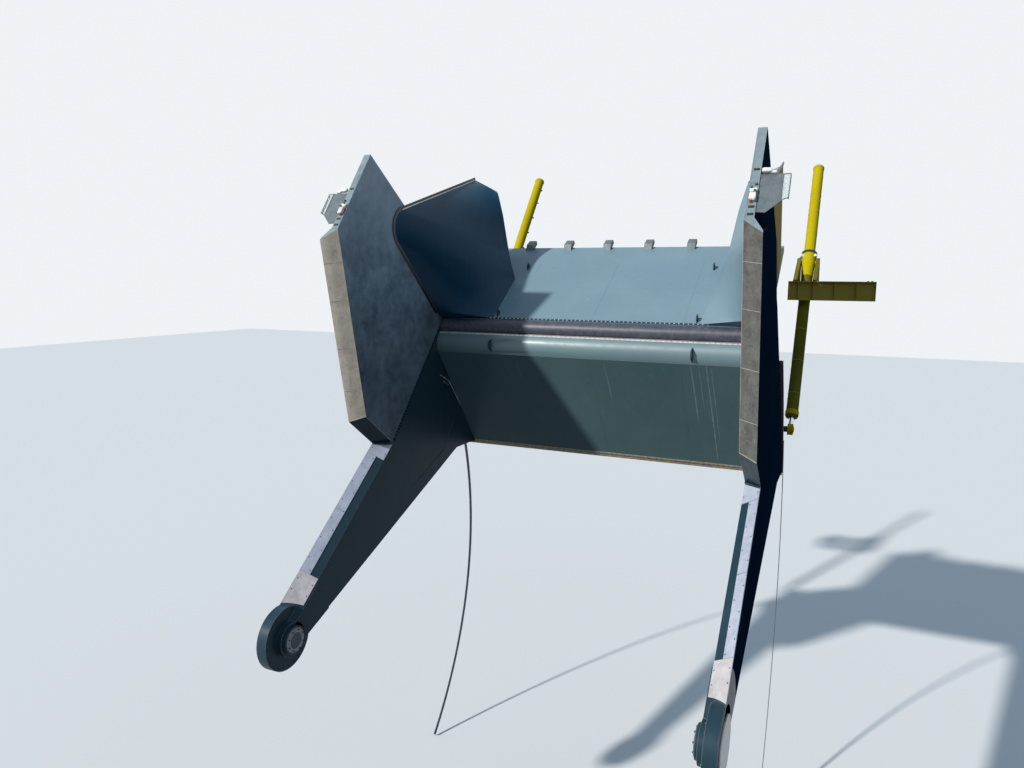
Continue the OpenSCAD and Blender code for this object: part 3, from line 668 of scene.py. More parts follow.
def arm_body(bm):
    at, n = shoulder_plane()
    circle = [polar(STUB_R, a) for a in range(60, 0, -2)]
    low_cross = [q for q in circle if (q - ROOT_LOW).dot(ARM_LOW_SIDE) < 0 < (q - ROOT_TOP).dot(ARM_SIDE)]
    outline = [OUT_FOOT, STUB_TOP, *low_cross[1:-1], STUB_LOW, ARM_KNEE, LOW_EDGE + Vector((-0.48, 0.03)),
               polar(LEAF_IN, LEAF_A), polar(LEAF_IN, 20.5), BOX_REAR_LOW, SHIELD_JOINT, FOOT]
    add_solid(bm, outline, ARM_OUT, ARM_IN, (at, n), ARM_CUT)
    add_solid(bm, outline, ARM_OUT, ARM_IN, (at, -n))


def hub_body(bm):
    c = 0.008                       # broken edges
    turned(bm, [(BORE_R, ARM_OUT), (HUB_R - c, ARM_OUT), (HUB_R, ARM_OUT + c), (HUB_R, HUB_FACE - c),
                (HUB_R - c, HUB_FACE), (SLEEVE_R, HUB_FACE)], about_x, 96)
    turned(bm, [(SLEEVE_R, HUB_FACE - 0.01), (SLEEVE_R, STUB_FACE - c), (SLEEVE_R - c, STUB_FACE),
                (RECESS_R, STUB_FACE), (RECESS_R, SLEEVE_FACE - c), (RECESS_R - c, SLEEVE_FACE),
                (BORE_R, SLEEVE_FACE), (BORE_R, ARM_OUT)], about_x, 96)
    angles = [math.degrees(math.atan2(p.y, p.x)) for p in (STUB_LOW, STUB_TOP)]
    round_end = [polar(STUB_R, a) for a in spread(*angles, 21)[1:-1]]
    add_solid(bm, [STUB_TOP, ROOT_TOP, ROOT_LOW, STUB_LOW, *round_end], ARM_OUT, STUB_FACE, ARM_CUT)


for o in sided("arm_body", arm_body, NAVY, GATES, replaces="arm"):
    # the flat side towards the pier in the darker, matt navy: painted shade
    side = side_of(o)
    faces_to(o, NAVY_SIDE, lambda p: p.normal.x * side < -0.98)
sided("hub_body", hub_body, NAVY, GATES, replaces="trunnion_hub")

# Wear plates on the arm's bevel: distances back from the foot and widths across
WEAR_T = 0.014
EDGE, GAP = 0.006, 0.004
STRIP_W, FULL_W = 0.54 * BEV_W, BEV_W - EDGE
LOW_JOINT, TOP_JOINT = FOOT_REACH - 1.56, 0.32
MID_JOINT = (LOW_JOINT + TOP_JOINT) / 2


def at_shoulder(w):
    """Where the plate meets the slanted foot of the shield."""
    return SHOULDER_GAP + 0.012 - SHOULDER * w


def round_hub(w):
    """How far back from the foot the bevel comes within 30 mm of the hub."""
    q = ARM_SIDE.dot(OUT_FOOT) + BEV_R * w
    return FOOT_REACH - math.sqrt((HUB_R + 0.03) ** 2 - q * q)


def plate_on_bevel(bm, outline):
    """A plate on the arm's bevel from its (across, back from the foot) outline."""
    fresh = bmesh.new()
    low, high = ([on_arm_bevel(s, w, lift) for w, s in outline] for lift in (0.0005, WEAR_T))
    soften(fresh, slab(fresh, low, high).edges, 0.002)
    merge(bm, fresh)


def wear_low(bm):
    end = LOW_JOINT + GAP
    plate_on_bevel(bm, [(w, round_hub(w)) for w in spread(EDGE, FULL_W, 11)] + [(FULL_W, end), (EDGE, end)])


def wear_up(bm):
    plate_on_bevel(bm, rect(EDGE, STRIP_W, LOW_JOINT - GAP, MID_JOINT + GAP))
    plate_on_bevel(bm, rect(EDGE, STRIP_W, MID_JOINT - GAP, TOP_JOINT + GAP))
    start = TOP_JOINT - GAP
    plate_on_bevel(bm, [(EDGE, start), (FULL_W, start)] + [(w, at_shoulder(w)) for w in (FULL_W, EDGE)])


def wear_bolts(bm):
    """Bolts on both edges of the wide plates, and by turns on either edge of the narrow ones."""
    s, near_side = 0.12, True
    while s < FOOT_REACH - 0.95:
        if s < TOP_JOINT or s > LOW_JOINT:
            rows = (0.055, BEV_W - 0.055)
        else:
            rows = (0.045,) if near_side else (STRIP_W - 0.045,)
        for w in rows:
            add_disc(bm, on_arm_bevel(s, w, WEAR_T), BEV_N, 0.016, 0.004, 14)
            add_bolt(bm, on_arm_bevel(s, w, WEAR_T + 0.003), BEV_N, 0.008, 0.004, washer=False)
        near_side = not near_side
        s += 0.31


sided("wear_plate_low", wear_low, WEARPINK, GATES, replaces="wear_plates")
sided("wear_plate_upper", wear_up, WEAR, GATES, replaces="wear_plates")
sided("wear_plate_bolts", wear_bolts, DARKBOLT, GATES)

# Joint from the foot to the hinge corner, all of it low enough for the fin's seal to pass over
JOINT_LEN = (CORNER - FOOT).length
JOINT_DIR = (CORNER - FOOT).normalized()
JOINT_SIDE = right_of(JOINT_DIR)


def joint_bolts(bm):
    k = int(JOINT_LEN / 0.105)
    for i in range(2, k - 1):
        p = FOOT + JOINT_DIR * (i * JOINT_LEN / k)
        at = xyz(ARM_IN + 0.001, p + JOINT_SIDE * 0.075)
        add_box(bm, at, (0.022, 0.062, 0.006), xyz(0, JOINT_DIR), X_AXIS)
        if i % 2 == 0:
            add_disc(bm, xyz(ARM_IN, p - JOINT_SIDE * 0.06), X_AXIS, 0.015, 0.004, 12)


def joint_strip(bm):
    outline = [FOOT + JOINT_DIR * s + JOINT_SIDE * w for s, w in rect(0.08, JOINT_LEN - 0.12, 0.035, 0.115)]
    add_prism(bm, outline, ARM_IN, ARM_IN + 0.003, 0.001)


def arm_welds(bm):
    v_tip = (5.719, 2.484)
    for a, b in (((4.946, 3.721), v_tip), (v_tip, (7.769, 3.276)), ((7.73, 3.36), (9.0, 4.9))):
        weld(bm, xyz(ARM_IN + 0.001, a), xyz(ARM_IN + 0.001, b), 0.007, 0.18, 0.03)


def edge_welds(bm):
    """Cross seams on the bevelled near edge of the shield, and long seams along its corners."""
    up = -NEAR_DIR
    for s in (0.9, 2.1, 3.4, 4.4):
        a, b = OUT_LOW + up * s, LOW + up * (s + (OUT_LOW - LOW).dot(up))
        weld(bm, xyz(ARM_OUT + 0.004, a), xyz(ARM_IN - 0.004, b), 0.006, 0.2, 0.02)
    weld(bm, xyz(ARM_OUT + 0.002, OUT_LOW), xyz(ARM_IN, LOW), 0.008, 0.2, 0.02)
    weld(bm, xyz(ARM_IN, LOW), xyz(ARM_IN, FOOT), 0.007, 0.2, 0.025)
    weld(bm, xyz(ARM_IN, LOW), xyz(ARM_IN, KINK), 0.006, 0.2, 0.03)


sided("joint_bolts", joint_bolts, GALV, GATES)
sided("joint_strip", joint_strip, NAVY_SIDE, GATES)
sided("arm_weld_seams", arm_welds, DARKBOLT, GATES)
sided("edge_weld_seams", edge_welds, NEAR, GATES)


# Nose: bright clamp bar with its screws, and the beige strip along the hinge seat
def nose_clamp(bm):
    outline = band(NOSE_C, NOSE_R + 0.0005, NOSE_R + 0.012, 129, 135.5)
    add_prism(bm, outline, ARM_IN + 0.03, BAY - ARM_IN - 0.03, 0.0015)


def nose_screws(bm):
    for x in spread(ARM_IN + 0.1, BAY - ARM_IN - 0.1, 66):
        add_disc(bm, xyz(x, NOSE_C + polar(NOSE_R + 0.012, 132)), xyz(0, polar(1, 132)), 0.014, 0.006, 10)


def nose_beige(bm):
    add_prism(bm, band(HINGE, 0.291, 0.272, 216, 228), ARM_IN + 0.02, BAY - ARM_IN - 0.02, 0.001)


# the clamp bar's light steel also stands for the white line along the nose top: partly painted highlight
single("nose_clamp_bar", nose_clamp, BRIGHT, "gate")
single("nose_bar_screws", nose_screws, GALV, "gate")
single("nose_beige_strip", nose_beige, BEIGE, "gate")

# Flap and front plate: foot strips with bolts, and flat seams between their plates
PLATE_JOINTS = (2.72, 5.45, 8.18)


def flap_point(s, lift=0.0):
    return FLAP_ROOT + FLAP_DIR * s + FLAP_UP * lift


def panel_point(s, lift=0.0):
    return LOW_EDGE + PANEL_DIR * s - PANEL_IN * lift


def flap_strip(bm):
    outline = [flap_point(s, t) for s, t in rect(0.07, 0.17, 0.0005, 0.010)]
    add_prism(bm, outline, FLAP_X0 + 0.02, FLAP_X1 - 0.02, 0.002)


def flap_bolts(bm):
    for x in spread(FLAP_X0 + 0.07, FLAP_X1 - 0.07, 74):
        add_bolt(bm, xyz(x, flap_point(0.12, 0.010)), xyz(0, FLAP_UP), 0.017, 0.014)


def flap_seams(bm):
    for x in PLATE_JOINTS:
        weld(bm, xyz(x, flap_point(0.2)), xyz(x, flap_point(3.48)), 0.005, 0.2, 0.04)
    weld(bm, xyz(FLAP_X0 + 0.02, flap_point(1.95)), xyz(FLAP_X1 - 0.02, flap_point(1.95)), 0.004, 0.2, 0.04)


def panel_seams(bm):
    for x in PLATE_JOINTS:
        weld(bm, xyz(x, panel_point(0.05)), xyz(x, panel_point(PANEL_LEN - 0.02)), 0.004, 0.2, 0.05)
    top = panel_point(PANEL_LEN)
    weld(bm, xyz(ARM_IN, top), xyz(BAY - ARM_IN, top), 0.0035, 0.2, 0.06)


def bottom_clamp(bm):
    outline = [panel_point(s, t) for s, t in rect(0.03, 0.11, 0.0005, 0.012)]
    add_prism(bm, outline, ARM_IN + 0.02, BAY - ARM_IN - 0.02, 0.002)


def bottom_bolts(bm):
    for x in spread(ARM_IN + 0.12, BAY - ARM_IN - 0.12, 66):
        add_bolt(bm, xyz(x, panel_point(0.07, 0.012)), xyz(0, -PANEL_IN), 0.014, 0.012)


single("flap_foot_strip", flap_strip, NAVY, "flap")
single("flap_foot_bolts", flap_bolts, BRIGHT, "flap")
single("flap_weld_seams", flap_seams, FLAPBLUE, "flap")
single("front_plate_seams", panel_seams, TEAL, "gate")
single("bottom_seal_clamp", bottom_clamp, BEIGE, "gate")
single("bottom_seal_bolts", bottom_bolts, GALV, "gate")

# Fins: the round corner and the tip of the rim, the free edge (x, point) and the foot on the flap
ROUND_C, ROUND_R = HINGE + polar(3.714, 127.8), 0.63
FIN_TOP = HINGE + polar(5.37, 65.9)
FIN_BACK_S = 3.72
FIN_RIM_IN = 0.075
FIN_FREE = [(2.12, FLAP_ROOT + 2.40 * FLAP_DIR), (1.862, HINGE + polar(3.075, 50.1)),
            (1.622, HINGE + polar(4.11, 60.9)), (1.43, HINGE + polar(4.74, 64.6)),
            (1.385, HINGE + polar(4.835, 65.3))]
FIN_FOOT_X = 2.25
LINE_ROWS, ARC_ROWS, TOP_ROWS, ACROSS, BACK_ROWS = 24, 16, 28, 22, 8


def along_line(pts, t):
    """The point at share t of the length of a polyline."""
    lens = [(b - a).length for a, b in zip(pts, pts[1:])]
    want = t * sum(lens)
    for a, b, l in zip(pts, pts[1:], lens):
        if want <= l or b is pts[-1]:
            return a.lerp(b, min(1.0, want / l))
        want -= l


def rim_parts(inset):
    """The rim in three parts: the straight lower edge, the round corner and the straight top edge."""
    start = HINGE + polar(0.31, 146) + polar(inset, 45)
    arc = [ROUND_C + polar(ROUND_R - inset, a) for a in range(226, 105, -6)]
    first = start + (arc[0] - start).normalized() * 0.40
    return [first, arc[0]], arc, [arc[-1], FIN_TOP + polar(inset, -73.4)]


def add_face(bm, corners):
    """A face from corners of which some may be the same vertex."""
    corners = [q for n, q in enumerate(corners) if q not in corners[:n]]
    if len(corners) > 2:
        bm.faces.new(corners)


def fin_sheet(bm):
    """A smooth sheet from the rubber rim to the flap, closed behind, beside and below."""
    line, arc, top = rim_parts(FIN_RIM_IN)
    free = [xyz(x, p) for x, p in FIN_FREE]
    foot = [xyz(FIN_FOOT_X, flap_point(0.13, 0.001)), free[0]]
    n = xyz(0, -0.62 * FLAP_DIR + 0.78 * FLAP_UP)
    shares = [i / ACROSS for i in range(ACROSS + 1)]
    rows = []

    def sheet_row(rim, edge, swell):
        rim = xyz(FLAP_X0, rim)
        rows.append([bm.verts.new(rim.lerp(edge, k) + n * swell * math.sin(math.pi * k)) for k in shares])

    for t in [i / LINE_ROWS for i in range(LINE_ROWS + 1)]:
        sheet_row(along_line(line, t), along_line(foot, t ** 0.85), 0.03 + 0.09 * t)
    for t in [i / ARC_ROWS for i in range(1, ARC_ROWS + 1)]:
        sheet_row(along_line(arc, t), along_line(free, 0.34 * t), 0.12 - 0.03 * t)
    for t in [i / TOP_ROWS for i in range(1, TOP_ROWS + 1)]:
        sheet_row(along_line(top, t), along_line(free, 0.34 + 0.66 * t), 0.09 * (1 - 0.75 * t))
    for r0, r1 in zip(rows, rows[1:]):
        for i in range(ACROSS):
            bm.faces.new((r0[i], r0[i + 1], r1[i + 1], r1[i]))
    # back plates, from the free edge to the pier side
    base = xyz(FLAP_X0, flap_point(FIN_BACK_S))
    edge = [row[-1] for row in rows[LINE_ROWS:]]
    plates = []
    for i, v in enumerate(edge[:-1]):
        far = base.lerp(rows[-1][0].co, i / (len(edge) - 1))
        plates.append([v] + [bm.verts.new(v.co.lerp(far, j / BACK_ROWS)) for j in range(1, BACK_ROWS + 1)])
    plates.append([rows[-1][ACROSS - round(ACROSS * j / BACK_ROWS)] for j in range(BACK_ROWS + 1)])
    for a, b in zip(plates, plates[1:]):
        for j in range(BACK_ROWS):
            add_face(bm, [a[j], a[j + 1], b[j + 1], b[j]])
    # pier side and the foot on the flap
    hub, back = bm.verts.new(xyz(FLAP_X0, flap_point(0.02, 0.001))), plates[0][-1]
    bm.faces.new([row[0] for row in rows] + [back, hub])
    lip = [bm.verts.new(hub.co.lerp(rows[0][-1].co, k)) for k in shares[1:-1]]
    chain = [hub] + lip + [rows[0][-1]]
    for i in range(ACROSS):
        add_face(bm, [rows[0][i], chain[i], chain[i + 1], rows[0][i + 1]])
    bm.faces.new(chain + [row[-1] for row in rows[1:LINE_ROWS + 1]] + [back])


def fin_clamp(bm):
    outer, inner = rim_parts(FIN_RIM_IN - 0.024)[2], rim_parts(FIN_RIM_IN + 0.002)[2]
    add_prism(bm, outer + inner[::-1], FLAP_X0 - 0.0005, FLAP_X0 + 0.006, 0.001)


def fin_clamp_low(bm):
    outer, inner = rim_parts(FIN_RIM_IN - 0.012), rim_parts(FIN_RIM_IN + 0.001)
    outline = outer[0] + outer[1][1:] + (inner[0] + inner[1][1:])[::-1]
    add_prism(bm, outline, FLAP_X0 - 0.0005, FLAP_X0 + 0.004, 0.001)


for o in sided("fin_sheet", fin_sheet, FIN, FLAPS, replaces="fin"):
    side = side_of(o)
    if side == -1:
        # the right fin faces the sun and shows the paint of the flap; the dark navy elsewhere is painted shade
        # and painted reflection
        faces_to(o, FLAPBLUE, lambda p: p.normal.x * side > 0.05)
    faces_to(o, OCHRE, lambda p: p.normal.x * side < -0.95)
# light steel on the top edge of the rim and galvanised below: the light top is painted highlight
sided("fin_clamp_bar", fin_clamp, BRIGHT, FLAPS)
sided("fin_clamp_low", fin_clamp_low, GALV, FLAPS)


# Trunnion: machined ring and its cap screws, and the bolts round the hub away from the arm
def hub_ring(bm):
    prof = ((0.200, 0.0), (0.200, 0.022), (0.235, 0.030), (0.300, 0.018), (0.312, 0.0))
    turned(bm, [(r, SLEEVE_FACE + x) for r, x in prof], about_x, 64)


def hub_screws(bm):
    for i in range(8):
        add_bolt(bm, xyz(SLEEVE_FACE + 0.026, polar(0.262, 22.5 + 45 * i)), X_AXIS, 0.018, 0.016)
    for i in range(24):
        p = polar(0.72, 15 * i)
        if p.normalized().dot(ARM_DIR) <= 0.35:
            add_bolt(bm, xyz(HUB_FACE, p), X_AXIS, 0.020, 0.018)


sided("trunnion_ring", hub_ring, MACHINED, GATES)
sided("trunnion_screws", hub_screws, DARKBOLT, GATES)

# Hoist cylinders: distances along the cylinder count from its pivot up
HOIST_ALONG = xyz(0, HOIST_DIR)
HOIST_OUT = xyz(0, -right_of(HOIST_DIR))
BARREL_LOW, BARREL_TOP = -6.0, 4.44


def at_hoist(s, a=0.0, r=0.0):
    """A point s along the cylinder, at angle a round it from the upstream side."""
    return xyz(HOIST_X, PIVOT) + HOIST_ALONG * s + (HOIST_OUT * math.cos(a) - X_AXIS * math.sin(a)) * r


def about_hoist(r, s, a):
    return at_hoist(s, a, r)


def ring_on_barrel(bm, s0, s1, r):
    b, inner = 0.006, 0.181
    prof = [(inner, s0), (r - b, s0), (r, s0 + b), (r, s1 - b), (r - b, s1), (inner, s1)]
    turned(bm, prof, about_hoist, 40)


def black_collar(bm):
    ring_on_barrel(bm, 0.315, 0.400, 0.262)


def barrel_rings(bm):
    ring_on_barrel(bm, 4.34, 4.41, 0.192)
    ring_on_barrel(bm, -5.96, -5.80, 0.200)
    for s in (1.25, 2.15, 3.05, 3.95, -1.6, -2.8, -4.0, -5.2):
        ring_on_barrel(bm, s - 0.012, s + 0.012, 0.1845)


def barrel_cone(bm):
    """The yellow seat below the collar, narrowing towards the beam."""
    turned(bm, [(0.236, 0.310), (0.236, 0.27), (0.186, -0.62), (0.181, -0.62)], about_hoist, 40)


def barrel_studs(bm):
    """A row of dark studs along the barrel."""
    for s in (0.9, 1.7, 2.5, 3.3, 4.0, -0.9, -2.0, -3.1, -4.2, -5.3):
        p = at_hoist(s, math.radians(-128), 0.205)
        n = (p - at_hoist(s)).normalized()
        add_box(bm, p, (0.035, 0.06, 0.052), HOIST_ALONG, n, 0.09)
        add_bolt(bm, p + n * 0.026, n, 0.008, 0.007, washer=False)


def valve_block(bm):
    """The blocks between the collar and the side pins, on the upstream and channel side."""
    for s, a, size in ((0.20, -62, (0.13, 0.15, 0.12)), (0.22, 58, (0.09, 0.10, 0.09))):
        p = at_hoist(s, math.radians(a), 0.20 + size[2] / 2)
        n = (p - at_hoist(s)).normalized()
        add_box(bm, p, size, HOIST_ALONG, n, 0.06)
        for q in (-0.3, 0.3):
            add_bolt(bm, p + n * (size[2] / 2) + HOIST_ALONG * q * size[0], n, 0.014, 0.014)


def end_bolts(bm):
    for i in range(12):
        a = 2 * math.pi * i / 12
        add_bolt(bm, at_hoist(BARREL_LOW, a, 0.14), -HOIST_ALONG, 0.016, 0.014)
        add_bolt(bm, at_hoist(BARREL_TOP, a, 0.145), HOIST_ALONG, 0.014, 0.012)


sided("cylinder_black_collar", black_collar, BLACK, CYLS)
sided("cylinder_rings", barrel_rings, YELLOW, CYLS)
sided("cylinder_cone", barrel_cone, YELLOW, CYLS)
sided("cylinder_studs", barrel_studs, DARKBOLT, CYLS)
sided("cylinder_valve_block", valve_block, WHITE, CYLS)
sided("cylinder_end_bolts", end_bolts, DARKBOLT, CYLS)


# Hoist beams: stiffeners between the flanges, bolts at the end and under the cylinder's bearings
def beam_stiffeners(bm):
    for x in (BEAM_X0 + 0.55, BEAM_X0 + 1.2, BEAM_X0 + 1.85, BEAM_X0 + 2.3):
        for y in (BEAM_Y0 - 0.2, BEAM_Y0 - 0.09, BEAM_Y1, BEAM_Y1 + 0.11):
            outline = rect(y + 0.002, y + 0.088, BEAM_LOW + 0.031, BEAM_TOP - 0.031)
            add_prism(bm, outline, x - 0.008, x + 0.008, 0.002)


def beam_bolts(bm):
    for x in (BEAM_X0 + 0.10, BEAM_X0 + 0.22):
        for y in (BEAM_Y0 - 0.16, BEAM_Y0 - 0.04, BEAM_Y1 + 0.04, BEAM_Y1 + 0.16):
            add_bolt(bm, (x, y, BEAM_TOP), Z_AXIS, 0.022, 0.02)
    for x in (0.14, -0.46):
        for y in (BEAM_Y0 - 0.16, BEAM_Y0 - 0.05, BEAM_Y1 + 0.05, BEAM_Y1 + 0.16):
            for dx in (0.03, 0.09):
                add_bolt(bm, (x + dx, y, BEAM_TOP + 0.03), Z_AXIS, 0.016, 0.016)


def track_screws(bm):
    """Flush screws along both edges of the curved seal track."""
    for i in range(88):
        for r in (10.375, 10.495):
            add_disc(bm, xyz(0.012, polar(r, -41.5 + i * 0.74)), X_AXIS, 0.011, 0.0022, 10)


sided("beam_stiffeners", beam_stiffeners, OLIVE, FIXED)
sided("beam_bolts", beam_bolts, GALV, FIXED)
sided("track_screws", track_screws, DARKBOLT, FIXED)

# Cap: the sheet cover with its framed pane beside the upper edge, and the small things on the edge itself
CAP_D, CAP_N = xyz(0, CAP_DIR), xyz(0, CAP_UP)
COVER_X, PANE_X = -0.36, -0.21
COVER_LOW, COVER_HIGH = -0.040, -0.026
COVER_UP, COVER_END = 0.13, 1.10
RAIL = 0.022


def cap_plate(bm, outline, low, high, edge=0.0015, up_by=0.0):
    """A plate parallel to the cap from its (across, up) outline."""
    fresh = bmesh.new()
    slab(fresh, *([on_cap(x, up + up_by, lift) for x, up in outline] for lift in (low, high)))
    soften(fresh, fresh.edges, edge)
    merge(bm, fresh)


def cover_plate(bm, outline, low=COVER_LOW, high=COVER_HIGH, edge=0.0015):
    cap_plate(bm, outline, low, high, edge, COVER_UP)


def cover_sheet(bm):
    cover_plate(bm, [(THIN_OUT, 0.09), (0.06, 0.07), (PANE_X, 0.352), (PANE_X, COVER_END),
                     (THIN_OUT, COVER_END)])
    cover_plate(bm, rect(THIN_OUT - 0.03, THIN_OUT, 0.12, 1.06), -0.11, COVER_LOW)


def cover_frame(bm):
    inner = PANE_X - 0.002
    cover_plate(bm, [(inner, 0.352), (COVER_X + 0.09, 0.42), (COVER_X, 0.44), (COVER_X, 0.44 + RAIL),
                     (inner, 0.37 + RAIL)])
    cover_plate(bm, rect(COVER_X, inner, COVER_END - RAIL, COVER_END))
    cover_plate(bm, rect(COVER_X, COVER_X + 0.016, 0.464, 1.076), -0.10)
    cover_plate(bm, rect(PANE_X - 0.012, PANE_X + 0.012, 0.40, 1.09), COVER_HIGH + 0.0005, COVER_HIGH + 0.006)
    for up in (0.45, 0.62, 0.80, 0.98):
        add_bolt(bm, on_cap(PANE_X, up + COVER_UP, COVER_HIGH + 0.006), CAP_N, 0.008, 0.007, washer=False)
    for up in (0.16, 0.48, 0.80, 1.05):
        add_bolt(bm, on_cap(THIN_OUT - 0.04, up + COVER_UP, COVER_HIGH), CAP_N, 0.010, 0.008)


def cover_pane(bm):
    outer, inner = COVER_X + 0.017, PANE_X - 0.003
    outline = [(inner, 0.40), (outer, 0.463), (outer, 1.077), (inner, 1.077)]
    cover_plate(bm, outline, COVER_LOW + 0.004, COVER_HIGH - 0.004, 0.001)


def cap_slots(bm):
    for up in (0.145, 0.34, 1.35):
        cap_plate(bm, rect(0.27, 0.40, up - 0.032, up + 0.032), 0.0003, 0.003, 0.001)


def cap_device(bm):
    for place, size in (((0.335, 0.56, 0.045), (0.21, 0.13, 0.09)), ((0.335, 0.74, 0.035), (0.10, 0.15, 0.07)),
                        ((0.12, 1.29, 0.015), (0.11, 0.20, 0.08)), ((-0.02, 1.25, 0.0), (0.07, 0.10, 0.06))):
        add_box(bm, on_cap(*place), size, CAP_D, CAP_N)
    for up, x in ((0.49, 0.29), (0.49, 0.38), (0.63, 0.29), (0.63, 0.38)):
        add_bolt(bm, on_cap(x, up, 0.09), CAP_N, 0.008, 0.007, washer=False)


def cap_lamps(bm):
    for up, x, r in ((0.70, 0.30, 0.030), (0.79, 0.37, 0.026)):
        add_disc(bm, on_cap(x, up, 0.066), CAP_N, r, 0.03, 20, 0.25)
        add_disc(bm, on_cap(x, up, 0.094), CAP_N, 0.6 * r, 0.03, 16, 0.3)
    add_disc(bm, on_cap(0.30, 0.93), CAP_N, 0.03, 0.05, 20, 0.25)


def cap_orange(bm):
    add_disc(bm, on_cap(0.36, 0.47), CAP_N, 0.034, 0.085, 20, 0.25)
    add_box(bm, on_cap(0.40, 0.66, 0.02), (0.08, 0.03, 0.04), CAP_D, CAP_N)


def cap_joint(bm):
    weld(bm, on_cap(THIN_OUT + 0.01, 0.973, 0.001), on_cap(ARM_IN - 0.01, 0.973, 0.001), 0.005, 0.15, 0.02)
    weld(bm, on_cap(BOX_IN, 0.02), on_cap(BOX_IN, 2.38), 0.004, 0.15, 0.03)


sided("cover_sheet", cover_sheet, GALV, GATES, replaces="guide_cover")
sided("cover_frame", cover_frame, GALV, GATES, replaces="guide_cover")
sided("cover_pane", cover_pane, PANE, GATES, replaces="guide_cover")
sided("cap_slots", cap_slots, BLACK, GATES)
sided("cap_device", cap_device, WHITE, GATES)
sided("cap_lamps", cap_lamps, GALV, GATES)
sided("cap_orange_lamp", cap_orange, ORANGE, GATES)
sided("cap_joint", cap_joint, CAPGREY, GATES)


# Marks left by the work: dried drips down the front plate, rubbed paint on the left arm
def flat_mark(bm, pts, widths, normal):
    """A thin ribbon with a ragged edge along a polyline."""
    n = Vector(normal)
    rows = []
    for i, q in enumerate(pts):
        d = (pts[min(i + 1, len(pts) - 1)] - pts[max(i - 1, 0)]).normalized()
        half = d.cross(n).normalized() * widths[i] * random.uniform(0.75, 1.25) / 2
        rows.append([bm.verts.new(p) for p in (q + half, q + n * 0.0008, q - half)])
    for (a0, b0, c0), (a1, b1, c1) in zip(rows, rows[1:]):
        bm.faces.new((a0, a1, b1, b0))
        bm.faces.new((b0, b1, c1, c0))


def drips(bm):
    n = 26
    for x, s0, s1, w in ((8.50, 4.25, 1.9, 0.030), (8.93, 4.30, 0.30, 0.034), (8.72, 4.28, 2.5, 0.014),
                         (9.06, 4.2, 1.2, 0.016), (5.95, 4.1, 2.6, 0.018), (3.1, 4.0, 3.3, 0.012)):
        lean = 0.045 * (4.3 - s1) * 0.35
        pts = [xyz(x + lean * i / n + random.uniform(-0.006, 0.006), panel_point(s0 + (s1 - s0) * i / n))
               for i in range(n + 1)]
        widths = [w * (0.35 + 0.65 * math.sin(math.pi * (0.12 + 0.80 * i / n))) for i in range(n + 1)]
        flat_mark(bm, pts, widths, xyz(0, -PANEL_IN))


def rubbed_marks(bm):
    for a, b, w in (((7.40, 5.77), (8.02, 5.475), 0.04), ((8.02, 5.475), (8.82, 4.57), 0.05),
                    ((7.62, 5.52), (7.98, 5.36), 0.02)):
        pts = dense(xyz(ARM_IN, a), xyz(ARM_IN, b), 14)
        flat_mark(bm, pts, [w * random.uniform(0.3, 1.0) for _ in pts], X_AXIS)


single("front_plate_drips", drips, DRIP, "gate")
single("left_arm_rubbed_marks", rubbed_marks, WHITE, "gate")

# Camera: its place, angles and focal length as recovered from the photo
CAM_AT = (12.707, -14.10, 8.91)
FOCAL_PX, PHOTO_W, SENSOR = 767.13, 1024, 36
yaw, pitch, roll = math.radians(-24.262), math.radians(7.9496), math.radians(0.4315)
fwd = Vector((math.sin(yaw) * math.cos(pitch), math.cos(yaw) * math.cos(pitch), -math.sin(pitch)))
level = Vector((math.cos(yaw), -math.sin(yaw), 0))
upright = level.cross(fwd)
cam_x = level * math.cos(roll) + upright * math.sin(roll)
cam_y = upright * math.cos(roll) - level * math.sin(roll)
cam = bpy.data.cameras.new("camera")
cam.sensor_width = SENSOR
cam.lens = FOCAL_PX / PHOTO_W * SENSOR
cam.clip_end = 400
cam_o = bpy.data.objects.new("camera", cam)
cam_o.matrix_world = Matrix.Translation(CAM_AT) @ Matrix((cam_x, cam_y, -fwd)).transposed().to_4x4()
bpy.context.scene.collection.objects.link(cam_o)
bpy.context.scene.camera = cam_o


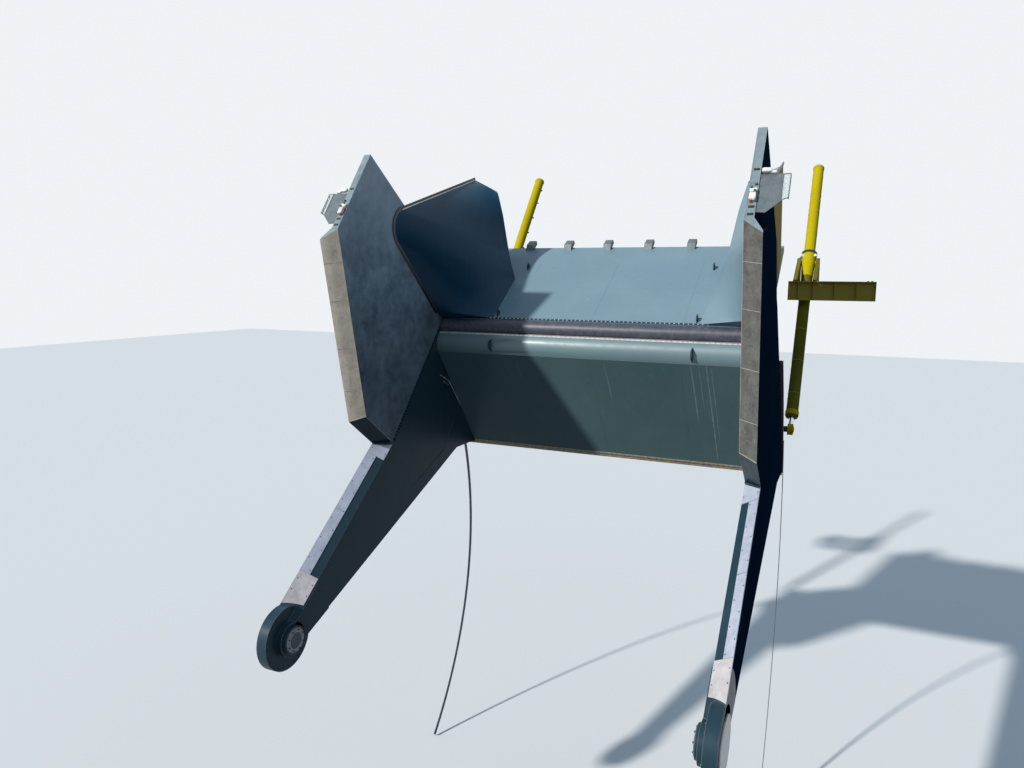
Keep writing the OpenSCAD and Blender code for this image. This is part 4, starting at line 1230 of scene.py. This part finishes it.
# Floor, backdrop and light: floor and backdrop are pale to the eye, but throw little light on the gate
def seen_rays(nt):
    """1 for camera, glossy and transmission rays, 0 for the rays that light the gate."""
    rays = nt.nodes.new("ShaderNodeLightPath").outputs
    seen = maths(nt, "MAXIMUM", rays["Is Camera Ray"], rays["Is Glossy Ray"])
    return maths(nt, "MAXIMUM", seen, rays["Is Transmission Ray"])


bm = bmesh.new()
bmesh.ops.create_grid(bm, x_segments=1, y_segments=1, size=160)
me = bpy.data.meshes.new("floor")
bm.to_mesh(me)
bm.free()
floor = bpy.data.objects.new("floor", me)
floor.location = (5, 5, cad_box[0][2] - 0.02)
bpy.context.scene.collection.objects.link(floor)
floor_mat, floor_nt, floor_b = new_mat("pale_floor")
floor_col = mix(floor_nt, seen_rays(floor_nt), (0.07, 0.07, 0.07), (0.80, 0.81, 0.82))
fill(floor_nt, floor_b, {"Base Color": floor_col, "Roughness": 0.9, "Specular IOR Level": 0.1})
me.materials.append(floor_mat)

world = bpy.data.worlds.new("studio")
bpy.context.scene.world = world
world.use_nodes = True
wnt = world.node_tree
wnt.nodes.clear()
sky_dir = wnt.nodes.new("ShaderNodeTexCoord").outputs["Generated"]
sky_up = node(wnt, "ShaderNodeSeparateXYZ", {0: sky_dir}).outputs["Z"]
sky_light = {"Color": (0.58, 0.79, 1.0), "Strength": span(wnt, sky_up, 0.0, 1.0, 0.16, 0.50)}
sky = node(wnt, "ShaderNodeBackground", sky_light).outputs[0]
pale = node(wnt, "ShaderNodeBackground", {"Color": (0.86, 0.89, 0.92), "Strength": 1.0}).outputs[0]
either = node(wnt, "ShaderNodeMixShader", {0: seen_rays(wnt), 1: sky, 2: pale}).outputs[0]
node(wnt, "ShaderNodeOutputWorld", {"Surface": either})


def sun(name, direction, strength, angle, color):
    l = bpy.data.lights.new(name, "SUN")
    l.energy = strength
    l.angle = math.radians(angle)
    l.color = color
    o = bpy.data.objects.new(name, l)
    o.rotation_euler = Vector(direction).to_track_quat("-Z", "Y").to_euler()
    bpy.context.scene.collection.objects.link(o)


sun("key_light", (0.458, 0.723, -0.518), 3.6, 2.0, (1, 0.97, 0.92))
sun("fill_light", (-0.35, 0.85, -0.35), 0.1, 60, (0.85, 0.92, 1))

bpy.context.scene.view_settings.view_transform = "Standard"
